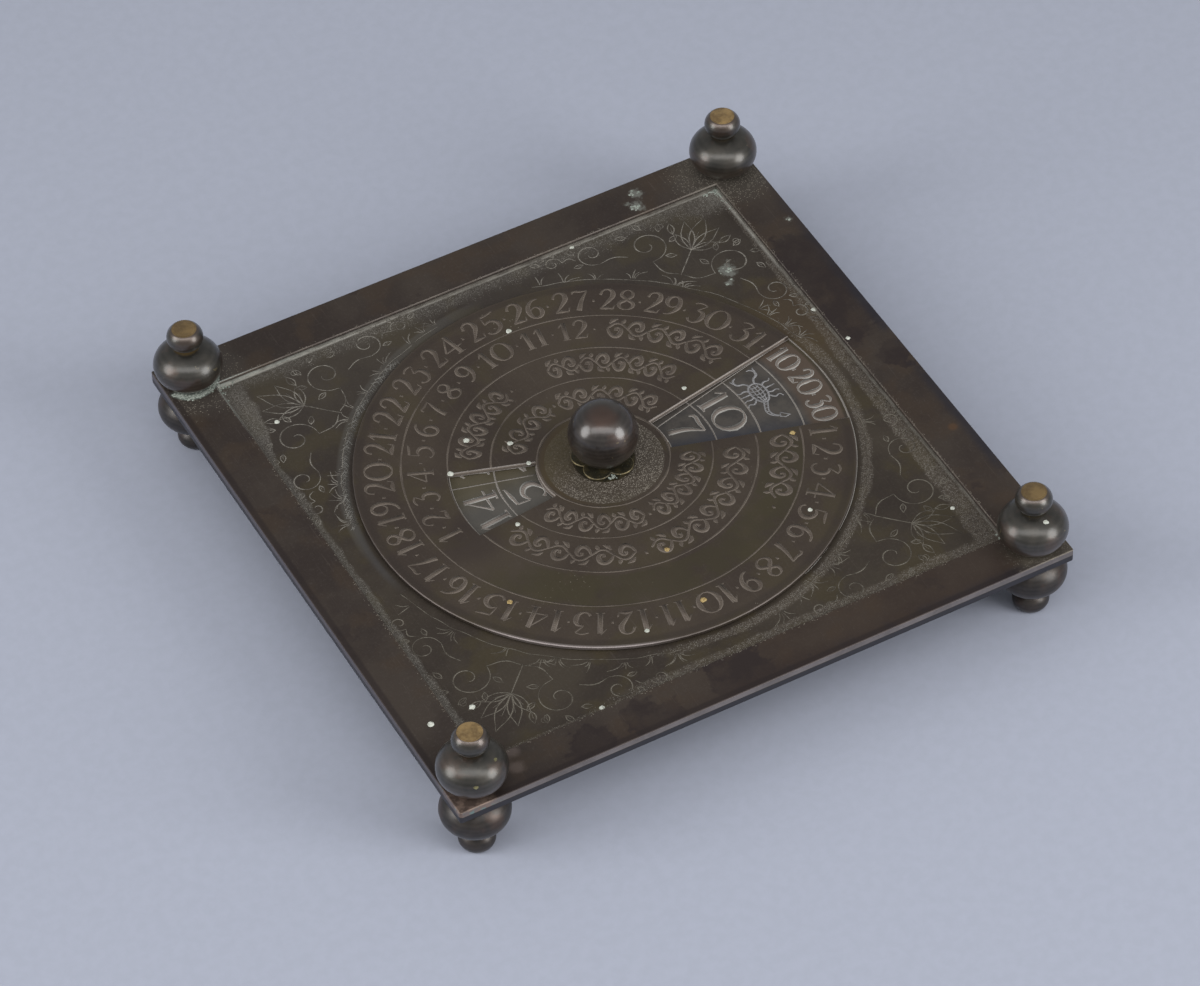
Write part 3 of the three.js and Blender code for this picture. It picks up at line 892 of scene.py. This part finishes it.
def vine(start, end, baseline, height, pitch, rise=0.0):
    """A running leaf scroll that reads clockwise from start to end."""
    length = math.radians(start - end) * (baseline + height / 2)
    turns = max(1, round(length / pitch))
    step = length / turns
    stem = []
    for quarter in range(turns * 4 + 1):
        lift = (0, VINE_SWAY, 0, -VINE_SWAY)[quarter % 4]
        stem.append((quarter * step / 4, height * (0.5 + lift), height * (0.028 + 0.018 * abs(lift) * 4)))
    strokes = [flow(*stem)]
    for turn in range(turns * 2):
        left = turn * step / 2
        up = 1 if turn % 2 == 0 else -1
        for shape in (VINE_CURL, VINE_LEAF, VINE_BUD):
            strokes.append(flow(*((left + x * step / 2, height * (0.5 + up * y), half * height)
                                  for x, y, half in shape)))
    return bolder(bent(strokes, start, baseline, rise, height / 2), VINE_WEIGHT)


# Number rows of the disc: last number, start, end, baseline, height and rise
DISC_NUMBERS = ((31, -17.5, 14.5 - 360, 36.9, 5.3, 0.7), (12, 190, 64, 29.8, 4.8, 0.8))
DISC_BREADTH = 0.84

# Scroll rows of the disc: baseline, height, pitch, rise, and the start and end of each stretch
DISC_SCROLLS = (
    (29.4, 5.4, 7.4, 0.7, ((60, 20), (-20, -48))),
    (21.0, 5.2, 6.8, 0.8, ((86, 28), (-24, -97), (-104, -161), (151, 108))),
    (13.2, 5.0, 5.8, 0.5, ((146, 98), (92, 24), (-24, -84), (-91, -158))),
)
DISC_DOTS = ((-51, 32), (-100.5, 23.6), (105, 24), (95, 16.2), (-87.5, 15.4))
DISC_DOT_HALF = 0.38
DISC_LINE = 0.15
HUB_LINE = 0.21


def make_disc_engraving(look):
    rings = []
    for seed, (radius, rise) in enumerate(DISC_RINGS):
        for low, high in around_windows(radius, rise):
            rings += ring_line(radius, rise, low, high, DISC_LINE if seed else HUB_LINE, seed)
    on_disc("disc_ring_lines", rings, look)
    numbers = []
    for last, start, end, baseline, height, rise in DISC_NUMBERS:
        numbers += number_row(range(1, last + 1), start, end, baseline, height, DISC_BREADTH, rise)
    on_disc("disc_numbers", numbers, look)
    scrolls = []
    for baseline, height, pitch, rise, stretches in DISC_SCROLLS:
        for start, end in stretches:
            scrolls += vine(start, end, baseline, height, pitch, rise)
    for angle, radius in DISC_DOTS:
        scrolls += dot(*polar(radius, angle), DISC_DOT_HALF)
    on_disc("disc_scrolls", scrolls, look)


EDGE_LINE_HALF = 0.13


def make_window_burrs():
    """Pale lines on the windows' edges that face the front: a painted highlight along the top, and a pale line
    at the foot of the wall.
    """
    look = stroke_finish("window_edge_lines", (120, 112, 108), (168, 160, 154), (186, 178, 170), fade=0.5)
    # Painted highlights along the top edges; pale lines at the foot of the walls.
    top = []
    foot = []
    for side, outer in ((OPEN_HIGH, DISC_R), (CLOSED_HIGH, CLOSED_OUTER)):
        start, end = Vector(polar(WINDOW_INNER, side[0])), Vector(polar(outer, side[1]))
        run = end - start
        into = Vector((run.y, -run.x)).normalized() * (1 if side is OPEN_HIGH else -1)
        for strokes, offset, half in ((top, -EDGE_LINE_HALF, EDGE_LINE_HALF), (foot, 0.0, EDGE_LINE_HALF * 0.8)):
            points = []
            for step in range(9):
                place = start + run * (step / 8) + into * offset
                ragged = noise.noise(Vector((step * 1.7, outer, offset)))
                points.append((place.x, place.y, half * (0.75 + 0.5 * ragged)))
            strokes.append(flow(*points))
    for low, high in ((CLOSED_HIGH[0], CLOSED_LOW[0]), (OPEN_LOW[0] + 6, OPEN_HIGH[0])):
        for strokes, radius in ((top, WINDOW_INNER - EDGE_LINE_HALF), (foot, WINDOW_INNER)):
            angles = [low + (high - low) * step / 6 for step in range(7)]
            strokes.append(flow(*((*polar(radius, angle), EDGE_LINE_HALF * 0.7) for angle in angles)))
    on_disc("window_top_highlights", top, look)
    on_disc("window_foot_lines", foot, look, DISC_BOTTOM + 0.05)


DAY_HOURS = (9, 10, 12, 14, 15, 16, 15, 14, 12, 10, 9, 8)
SUNRISE_HOURS = (8, 7, 6, 5, 4, 4, 4, 5, 6, 7, 8, 8)

# Traditional signs from January on, one unit high, drawn with the even pen; October's is the scorpion below
SIGNS = [
    [cut((0, 0.6), (0.2, 0.8), (0.35, 0.6), (0.55, 0.8), (0.7, 0.6), (0.9, 0.8)),
     cut((0, 0.25), (0.2, 0.45), (0.35, 0.25), (0.55, 0.45), (0.7, 0.25), (0.9, 0.45))],
    [flow((0.1, 1), (0.3, 0.5), (0.1, 0)), flow((0.8, 1), (0.6, 0.5), (0.8, 0)), cut((0.05, 0.5), (0.85, 0.5))],
    [flow((0.05, 0.75), (0.15, 0.97), (0.36, 0.85), (0.45, 0)),
     flow((0.85, 0.75), (0.75, 0.97), (0.54, 0.85), (0.45, 0))],
    [loop((0.45, 0), (0.75, 0.3), (0.45, 0.6), (0.15, 0.3)),
     flow((0.05, 1), (0.2, 0.72), (0.45, 0.6), (0.7, 0.72), (0.85, 1))],
    [cut((0.28, 0.1), (0.28, 0.9)), cut((0.62, 0.1), (0.62, 0.9)), flow((0, 1), (0.45, 0.88), (0.9, 1)),
     flow((0, 0), (0.45, 0.12), (0.9, 0))],
    [loop((0.2, 0.5), (0.36, 0.66), (0.2, 0.82), (0.04, 0.66)),
     loop((0.7, 0.5), (0.86, 0.34), (0.7, 0.18), (0.54, 0.34)),
     flow((0.1, 0.78), (0.5, 0.95), (0.9, 0.8)), flow((0.8, 0.22), (0.4, 0.05), (0, 0.2))],
    [loop((0.2, 0.2), (0.34, 0.34), (0.2, 0.48), (0.06, 0.34)),
     flow((0.3, 0.42), (0.2, 0.8), (0.45, 1), (0.68, 0.78), (0.6, 0.3), (0.72, 0.02), (0.9, 0.1))],
    [flow((0, 0.95), (0.1, 0.85), (0.1, 0.2)), flow((0.1, 0.8), (0.25, 0.95), (0.35, 0.8), (0.35, 0.2)),
     flow((0.35, 0.8), (0.5, 0.95), (0.6, 0.8), (0.6, 0.25), (0.85, 0)),
     flow((0.6, 0.6), (0.82, 0.62), (0.75, 0.3), (0.5, 0.02))],
    [cut((0.02, 0.1), (0.88, 0.1)),
     flow((0.02, 0.35), (0.3, 0.38), (0.2, 0.62), (0.45, 0.88), (0.7, 0.62), (0.6, 0.38), (0.88, 0.35))],
    None,
    [cut((0.05, 0.02), (0.85, 0.95)), cut((0.5, 0.97), (0.87, 0.97), (0.87, 0.55)), cut((0.15, 0.5), (0.5, 0.15))],
    [flow((0, 0.9), (0.14, 0.75), (0.2, 0.2)),
     flow((0.2, 0.6), (0.36, 0.9), (0.5, 0.7), (0.5, 0.25), (0.36, 0.02)),
     flow((0.5, 0.3), (0.68, 0.5), (0.86, 0.34), (0.68, 0.16), (0.52, 0.24))],
]


def scorpion():
    """A scorpion in a plain engraver's manner; x runs from pincers to sting, y = 0 is its middle line."""
    fine, firm = 0.11, 0.19
    strokes = [loop((-3.2, 0, firm), (-2.6, 1.15, firm), (-0.9, 1.5, firm), (0.8, 1.1, firm), (1.7, 0.35, firm),
                    (1.7, -0.35, firm), (0.8, -1.1, firm), (-0.9, -1.5, firm), (-2.6, -1.15, firm))]
    for rib in range(5):
        x = -2.5 + rib * 0.85
        bulge = 1.35 - 0.28 * abs(rib - 1.6)
        strokes.append(flow((x, -bulge, fine), (x + 0.4, 0, fine), (x, bulge, fine)))
    for row in (-0.55, 0.0, 0.55):
        strokes.append(flow((-2.9, row, fine), (-0.8, row * 1.3, fine), (1.5, row * 0.5, fine)))
    spine = ((1.7, 0.0), (2.9, -0.5), (4.2, -0.75), (5.3, -0.2), (5.9, 0.9))
    for side in (1, -1):
        strokes.append(flow(*((x, y + side * (0.38 - 0.05 * place), fine * 1.3)
                              for place, (x, y) in enumerate(spine))))
    for x, y in ((2.3, -0.2), (3.2, -0.6), (4.1, -0.75), (5.0, -0.4)):
        strokes.append(cut((x, y - 0.3, fine), (x + 0.12, y + 0.32, fine)))
    strokes.append(cut((5.2, 1.2, fine), (6.1, 0.9, firm), (6.5, 1.7, fine)))
    strokes.append(cut((5.2, 1.2, fine), (6.2, 2.6, firm * 1.2), (6.5, 1.7, fine)))
    for side in (1, -1):
        for leg in range(4):
            x = -2.0 + leg * 0.85
            lean = -0.5 + leg * 0.45
            strokes.append(flow((x, side * 1.3, firm), (x + lean, side * 2.2, firm),
                                (x + lean * 0.7, side * 3.0, fine), (x + lean * 1.5, side * 3.5, fine)))
        strokes.append(flow((-3.0, side * 0.5, firm), (-4.1, side * 1.1, firm), (-4.6, side * 2.1, firm * 1.4),
                            (-5.5, side * 2.4, firm)))
        strokes.append(flow((-5.3, side * 2.4, firm), (-6.1, side * 2.0, firm), (-6.3, side * 1.3, fine)))
        strokes.append(flow((-5.3, side * 2.4, firm), (-6.3, side * 2.7, fine)))
    return strokes


DIAL_LINE = 0.14
DIAL_WEIGHT = 1.2
SIGN_BASELINE = 29.1
SIGN_HEIGHT = 5.6
SIGN_MIDDLE = 31.6
SIGN_MIDDLE_SHARE = 0.45
HOURS_BASELINE = 20.8
HOURS_HEIGHT = 6.2
SUNRISE_BASELINE = 12.6
SUNRISE_HEIGHT = 6.5
GRADUATION = (10, 20, 30)
GRADUATION_BASELINE = 37.8
GRADUATION_HEIGHT = 4.7
GRADUATION_BREADTH = 0.72
STRAYS = {9: 2.0}


def make_dial(look, sign_look):
    lines = []
    for seed, radius in enumerate(DIAL_RINGS):
        lines += ring_line(radius, 0, 0, 360, DIAL_LINE, seed + 9)
    inner, outer = DIAL_RINGS[0], DIAL_RINGS[-1]
    for sector in range(12):
        angle = SECTOR_EDGE + sector * SECTOR
        middle = polar((inner + outer) / 2, angle + 0.15)
        lines.append(flow((*polar(inner, angle), DIAL_LINE), (*middle, DIAL_LINE * 0.8),
                          (*polar(outer, angle), DIAL_LINE)))
    on_plate("dial_lines", moved(lines, *DIAL_CENTRE), look)
    marks = []
    signs = []
    for month in range(12):
        sector_middle = FIRST_MONTH_AT - month * SECTOR
        angle = sector_middle + STRAYS.get(month, 0)
        marks += number(DAY_HOURS[month], angle, HOURS_BASELINE, HOURS_HEIGHT)
        marks += number(SUNRISE_HOURS[month], angle, SUNRISE_BASELINE, SUNRISE_HEIGHT)
        marks += number_row(GRADUATION, sector_middle + SECTOR / 2, sector_middle - SECTOR / 2,
                            GRADUATION_BASELINE, GRADUATION_HEIGHT, GRADUATION_BREADTH)
        if SIGNS[month] is None:
            signs += bent(scorpion(), angle, SIGN_MIDDLE)
        else:
            sign = sized(SIGNS[month], SIGN_HEIGHT, -SIGN_HEIGHT * SIGN_MIDDLE_SHARE)
            signs += bent(sign, angle, SIGN_BASELINE)
    on_plate("dial_numbers", moved(bolder(marks, DIAL_WEIGHT), *DIAL_CENTRE), look)
    on_plate("dial_signs", moved(signs, *DIAL_CENTRE), sign_look)


# Foliage of the corner fields, in each corner's own axes: x along the diagonal from the pivot, y across it
HAIR = 0.065
FULL = 0.14
FAN_ROOT = 55.8
FAN_LEAVES = ((0, 9.0), (26, 7.6), (-26, 7.6), (54, 5.6), (-54, 5.6))

# Scrolls: x, y, start, sweep, outer and inner radius, places and length of the leaves, and the stem's points
CORNER_SCROLLS = (
    (54.6, 8.2, 212, 470, 4.3, 0.7, (250, 300, 345, 30, 75), 2.2, ((49.2, 0.4), (49.0, 3.0), (51.0, 5.9))),
    (50.0, 17.4, -130, -450, 3.1, 0.6, (-190, -250, -300), 1.9, ((51.0, 10.6), (50.2, 13.2), (48.0, 15.0))),
    (45.6, 23.4, -60, 400, 1.8, 0.5, (10, 70), 1.4, ((47.6, 19.6), (47.8, 21.0), (46.5, 21.8))),
)
LONE_LEAVES = ((58.8, 4.4, 30, 3.0, 0.6), (44.6, 25.4, 100, 2.2, 0.45))
RINGLETS = ((60.2, 7.2), (56.2, 14.6), (50.2, 22.2))
RINGLET_RADIUS = 0.55

# Ground line and grass, about the pivot
GROUND_RADIUS = 46.3
GROUND_DEGREES = 33
GRASS_PITCH_DEGREES = 5
GRASS_BARE_SHARE = 0.3


def scroll(x, y, start, sweep, outer, inner):
    """A scroll that winds in from its outer end; angles in degrees."""
    steps = round(abs(sweep) / 30)
    points = []
    for step in range(steps + 1):
        share = step / steps
        across, along = polar(outer + (inner - outer) * share ** 0.85, start + sweep * share)
        points.append((x + across, y + along, HAIR + (FULL - HAIR) * math.sin(math.pi * share)))
    return [flow(*points)]


def leaf(x, y, heading, length, spread):
    """A pointed leaf: its two edges and a rib."""
    along, aside = Vector(polar(1, heading)), Vector(polar(1, heading + 90))
    tip = along * length
    strokes = []
    for bow in (spread, -spread):
        belly = along * length * 0.45 + aside * bow
        strokes.append(flow((x, y, HAIR), (x + belly.x, y + belly.y, FULL * 0.9),
                            (x + tip.x, y + tip.y, HAIR * 0.7)))
    rib = along * length * 0.6
    strokes.append(cut((x, y, HAIR * 0.8), (x + rib.x, y + rib.y, HAIR * 0.6)))
    return strokes


def leafed_scroll(x, y, start, sweep, outer, inner, leaf_places, length):
    """A scroll with leaves on its outer side."""
    strokes = scroll(x, y, start, sweep, outer, inner)
    turn = math.copysign(1, sweep)
    for place in leaf_places:
        across, along = polar(outer, place)
        strokes += leaf(x + across, y + along, place + turn * 38, length, length * 0.22)
    return strokes


def corner_ornament(seed):
    """Scrolling foliage and grass for one sunk corner."""
    draw = random.Random(seed)
    strokes = []
    for heading, length in FAN_LEAVES:
        strokes += leaf(FAN_ROOT, 0, heading, length, length * 0.16)
    strokes.append(flow((49.0, 0, HAIR), (52, 0, FULL), (FAN_ROOT, 0, HAIR)))
    half = []
    for *scroll_shape, (root, belly, end) in CORNER_SCROLLS:
        half += leafed_scroll(*scroll_shape)
        half.append(flow((*root, HAIR), (*belly, FULL), (*end, HAIR)))
    for lone in LONE_LEAVES:
        half += leaf(*lone)
    for x, y in RINGLETS:
        half.append(loop((x + RINGLET_RADIUS, y, HAIR), (x, y + RINGLET_RADIUS, HAIR),
                         (x - RINGLET_RADIUS, y, HAIR), (x, y - RINGLET_RADIUS, HAIR)))
    strokes += half + reshaped(half, lambda x, y, width: (x, -y, width))
    ground = []
    for degrees in range(-GROUND_DEGREES, GROUND_DEGREES + 1, 3):
        radius = GROUND_RADIUS + draw.uniform(-0.2, 0.2)
        ground.append((*polar(radius, degrees), HAIR * draw.uniform(0.7, 1.4)))
    strokes.append(flow(*ground))
    for place in range(-GROUND_DEGREES, GROUND_DEGREES + 1, GRASS_PITCH_DEGREES):
        if draw.random() >= GRASS_BARE_SHARE:
            strokes += grass(place, draw)
    return strokes


def grass(place, draw):
    """A tuft of two to five blades."""
    strokes = []
    degrees = place + draw.uniform(-1.8, 1.8)
    root = draw.uniform(46.2, 47.2)
    for blade in range(draw.choice((-2, -1)), draw.choice((1, 2, 3))):
        lean = blade * 1.1 + draw.uniform(-0.5, 0.5)
        length = draw.uniform(1.4, 2.8) - abs(blade) * 0.3
        base = polar(root, degrees + blade * 0.3)
        knee = polar(root + length * 0.6, degrees + lean * 0.7)
        tip = polar(root + length, degrees + lean * 1.6)
        strokes.append(flow((*base, HAIR), (*knee, FULL * 0.8), (*tip, HAIR * 0.6)))
    return strokes


RIM_BAND = (44.9, 46.9)
RIM_HATCH_DEGREES = (116, 169)
RIM_HATCH_PITCH = 0.55


def rim_hatching(draw):
    """Short crossing cuts in a band round the disc, at the back left only."""
    strokes = []
    low, high = RIM_BAND
    first, last = RIM_HATCH_DEGREES
    pitch = math.degrees(RIM_HATCH_PITCH / low)
    for place in range(round((last - first) / pitch)):
        degrees = first + place * pitch
        for lean in (2.2, -1.4):
            start, end = low + draw.uniform(0, 0.8), high - draw.uniform(0, 0.9)
            strokes.append(cut((*polar(start, degrees + draw.uniform(-0.4, 0.4)), HAIR),
                               (*polar(end, degrees + lean * draw.uniform(0.4, 1.2)), HAIR * 0.9)))
    return strokes


def make_corner_ornaments():
    def worn_lines(name, ground, line, fade, wear_grain):
        return stroke_finish(name, ground, line, line, fade, wear_grain)

    looks = {"back": worn_lines("corner_lines_back", (76, 69, 62), (142, 137, 128), 0.8, 2.2),
             "front": worn_lines("corner_lines_front", (74, 67, 58), (120, 114, 103), 0.85, 2.2)}
    for seed, (corner, degrees) in enumerate(CORNERS.items()):
        turn = Matrix.Rotation(math.radians(degrees), 2)
        strokes = reshaped(corner_ornament(seed), lambda x, y, half: (*(turn @ Vector((x, y))), half))
        on_plate(f"corner_foliage_{corner}", strokes, looks[corner.split("_")[0]])
    hatched = worn_lines("rim_hatching", (84, 79, 74), (138, 136, 130), 0.7, 3.0)
    on_plate("rim_hatching", rim_hatching(random.Random(8)), hatched)


# Punched ground round the hub
STIPPLE_INNER = 5.5
STIPPLE_OUTER = 10.6
STIPPLE_TOP = 0.05
STIPPLE_DEPTH = 0.1
STIPPLE_EDGE = 0.8
STIPPLE_DENSITY = 3.1
STIPPLE_ROWS = 28
STIPPLE_STEPS = 320


def make_stipple():
    pitch = (STIPPLE_OUTER - STIPPLE_INNER) / STIPPLE_ROWS
    top = [(STIPPLE_INNER + pitch * row, STIPPLE_TOP) for row in range(STIPPLE_ROWS + 1)]
    foot = (STIPPLE_INNER, -STIPPLE_TOP)
    shape = spun([foot, *top, (STIPPLE_OUTER, -STIPPLE_TOP), foot], STIPPLE_STEPS)
    for vert in shape.verts:
        if vert.co.z > 0:
            edge = min(1, (STIPPLE_OUTER - math.hypot(vert.co.x, vert.co.y)) / STIPPLE_EDGE)
            dent = noise.noise(vert.co * STIPPLE_DENSITY)
            vert.co.z += STIPPLE_DEPTH * edge * dent - (1 - edge) * STIPPLE_TOP
    bmesh.ops.translate(shape, vec=(0, 0, DISC_Z), verts=shape.verts)
    add_piece("hub_stipple", to_mesh("hub_stipple", shape, sharp_degrees=60), "cover", stipple_finish())


def crumb(shape, x, y, z, size, draw, lift=0.3):
    """A low, uneven crumb that sits on a surface."""
    made = bmesh.ops.create_icosphere(shape, subdivisions=2, radius=1)
    shift = draw.uniform(0, 50)
    for vert in made["verts"]:
        swell = 1 + 0.35 * noise.noise(vert.co * 1.4 + Vector((shift, 0, 0)))
        across, along, up = vert.co.x * swell, vert.co.y * swell, vert.co.z * lift
        vert.co = Vector((x + across * size, y + along * size, z + up * size))


def sheet_top(x, y):
    """Height of the border or of the sunk plate at a place outside the disc."""
    return FRAME_Z if max(abs(x), abs(y)) > INNER_HALF else DIAL_Z


# Specks: material, pale and deep colour, places on the sheets, and place and size of those on the finials
SPECKS = {
    "white": ("lime_speck", (222, 224, 214), (176, 180, 168),
              ((20.9, 51.0), (51.0, 14.8), (52.1, 4.4), (-55.0, -39.8), (-46.7, -38.9), (-27.7, -50.1),
               (-13.0, -39.3), (47.4, -40.0), (0.4, 36.8), (-18.9, 16.4), (20.7, 8.4), (-12.5, 11.9),
               (-20.5, -6.1), (25.3, -28.6), (-45.5, 38.3), (-25.0, 10.6), (-11.9, 6.0)),
              ((55.1, -58.1, 23.8, 0.5),)),
    "amber": ("amber_speck", (196, 174, 122), (148, 122, 74),
              ((-30.3, -21.6), (-1.2, -37.9), (-0.9, -24.4), (31.9, -10.9)), ()),
    "olive": ("olive_speck", (120, 116, 82), (90, 86, 62), (),
              ((-51.9, -57.9, 23.2, 0.4), (-56.8, -60.2, 21.3, 0.45))),
}


def make_specks():
    draw = random.Random(4)
    looks = {name: residue_finish(*row[:3]) for name, row in SPECKS.items()}
    for body, slot in (("base", "plate"), ("cover", "disc")):
        for name, (*_, places, finial_places) in SPECKS.items():
            here = [place for place in places if (math.hypot(*place) < DISC_R) == (body == "cover")]
            raised = finial_places if body == "base" else ()
            if not here and not raised:
                continue
            shape = bmesh.new()
            for x, y in here:
                crumb(shape, x, y, DISC_Z if body == "cover" else sheet_top(x, y), draw.uniform(0.4, 0.6), draw)
            for x, y, z, size in raised:
                crumb(shape, x, y, z, size, draw, lift=0.5)
            piece = f"{name}_specks_{body}"
            add_piece(piece, to_mesh(piece, shape), body, looks[name])


# Verdigris: crumbs on the crusts with place, spread and count, and counts at the panel's corners
CRUST_CRUMBS = ((37.2, 56.4, 1.0, 6), (35.8, 53.3, 1.0, 8), (42.5, 31.6, 1.0, 12), (41.2, 28.6, 0.9, 4),
                (58.2, 36.4, 0.4, 3))
CORNER_CRUMBS = ((1, 1, 60), (-1, 1, 26), (1, -1, 12))
FINIAL_CRUMBS = 260
HUB_CRUMBS = 16


def make_residue():
    """Verdigris and lime crumbs: by the back-left finial, in the panel's corners, on crusts, at the hub."""
    draw = random.Random(11)
    look = residue_finish("verdigris", (168, 174, 165), (126, 134, 125))
    shape = bmesh.new()
    for _ in range(FINIAL_CRUMBS):
        angle = draw.uniform(-155, -8)
        x, y = polar(draw.gauss(4.6, 0.3), angle)
        crumb(shape, x - FINIAL_AT, y + FINIAL_AT, FRAME_Z, draw.uniform(0.1, 0.24), draw)
    for sign_x, sign_y, count in CORNER_CRUMBS:
        for _ in range(count):
            along, off = abs(draw.gauss(0, 1.8)), abs(draw.gauss(0, 0.35)) + 0.15
            x, y = (along, off) if draw.random() < 0.5 else (off, along)
            crumb(shape, sign_x * (INNER_HALF - x), sign_y * (INNER_HALF - y), DIAL_Z,
                  draw.uniform(0.1, 0.24), draw)
    for x, y, spread, count in CRUST_CRUMBS:
        for _ in range(count):
            crumb(shape, x + draw.gauss(0, spread * 0.6), y + draw.gauss(0, spread * 0.45), sheet_top(x, y),
                  draw.uniform(0.1, 0.3), draw, lift=0.15)
    add_piece("verdigris_crumbs", to_mesh("verdigris_crumbs", shape), "base", look)
    shape = bmesh.new()
    washer_top = spot("hub_washer", 1).z
    for _ in range(HUB_CRUMBS):
        x, y = polar(draw.gauss(5.0, 0.35), draw.gauss(258, 4))
        crumb(shape, x, y, washer_top + draw.uniform(0.0, 0.3), draw.uniform(0.1, 0.22), draw, lift=0.8)
    add_piece("hub_crumbs", to_mesh("hub_crumbs", shape), "cover", look)


FLOOR_HALF = 4000


def make_floor():
    shape = bmesh.new()
    bmesh.ops.create_grid(shape, x_segments=1, y_segments=1, size=FLOOR_HALF)
    floor = add_object("floor", to_mesh("floor", shape, smooth=False))
    finish = Finish("floor_paper")
    shade = finish.noise(2.2, 4, 0.6).over(0.3, 0.7) * 0.5 + finish.noise(160, 2, 0.5) * 0.5
    finish.start(shade, (170, 175, 190), (177, 182, 198))
    floor.data.materials.append(finish.finished(0.0, 0.9))


def make_camera():
    back = direction(CAMERA_AZIMUTH, CAMERA_ELEVATION)
    level = Vector((0, 0, 1)).cross(back).normalized()
    up = back.cross(level)
    roll = math.radians(CAMERA_ROLL)
    right = level * math.cos(roll) + up * math.sin(roll)
    above = up * math.cos(roll) - level * math.sin(roll)
    lens = bpy.data.cameras.new("camera")
    lens.lens = CAMERA_LENS
    lens.clip_start, lens.clip_end = CAMERA_CLIP_METRES
    camera = add_object("camera", lens)
    turn = Matrix((right, above, back)).transposed().to_4x4()
    camera.matrix_world = Matrix.Translation((CAMERA_AIM + back * CAMERA_DISTANCE) * MM) @ turn
    bpy.context.scene.camera = camera


# Softboxes: shape, azimuth, elevation, width and height in millimetres, watts
SOFTBOXES = {"softbox_left": ("ELLIPSE", -100, 27, 500, 620, 3.8),
             "softbox_right": ("ELLIPSE", 36, 24, 500, 620, 4.8),
             "strip_above_camera": ("RECTANGLE", -30, 57, 1500, 330, 4.5)}
SOFTBOX_DISTANCE = 1000
ROOM_COLOUR = (0.97, 0.985, 1.0, 1.0)
ROOM_LIGHT = 0.33


def make_lights():
    for name, (shape, azimuth, elevation, width, height, power) in SOFTBOXES.items():
        data = bpy.data.lights.new(name, "AREA")
        data.shape = shape
        data.size = width * MM
        data.size_y = height * MM
        data.energy = power
        lamp = add_object(name, data)
        away = direction(azimuth, elevation)
        lamp.location = away * SOFTBOX_DISTANCE * MM
        lamp.rotation_mode = "QUATERNION"
        lamp.rotation_quaternion = (-away).to_track_quat("-Z", "Y")
    world = bpy.data.worlds.new("room")
    world.use_nodes = True
    background = world.node_tree.nodes["Background"]
    background.inputs["Color"].default_value = ROOM_COLOUR
    background.inputs["Strength"].default_value = ROOM_LIGHT
    bpy.context.scene.world = world
    bpy.context.scene.view_settings.view_transform = "Standard"


make_camera()
make_lights()
make_floor()
dress(plate_finish(), "base_plate")
dress(frame_finish(), "frame_border")
dress(disc_finish(), "cover_disc")
dress(washer_finish(), "hub_washer", "rosette_washer")
dress(steel_finish(), "backing_washer", "spring_washer", "retaining_nut", "pivot_stud",
      *(f"tie_stud_{corner}" for corner in CORNERS))
make_turned_pieces()
make_knob()
make_disc_engraving(stroke_finish("disc_strokes", (79, 69, 61), (102, 92, 82), (133, 122, 112)))
make_window_burrs()
make_dial(stroke_finish("dial_strokes", (98, 92, 88), (140, 130, 122), (192, 190, 184), fade=0.15),
          stroke_finish("sign_strokes", (98, 96, 96), (156, 155, 157), (172, 171, 172), fade=0.2))
make_corner_ornaments()
make_stipple()
make_specks()
make_residue()
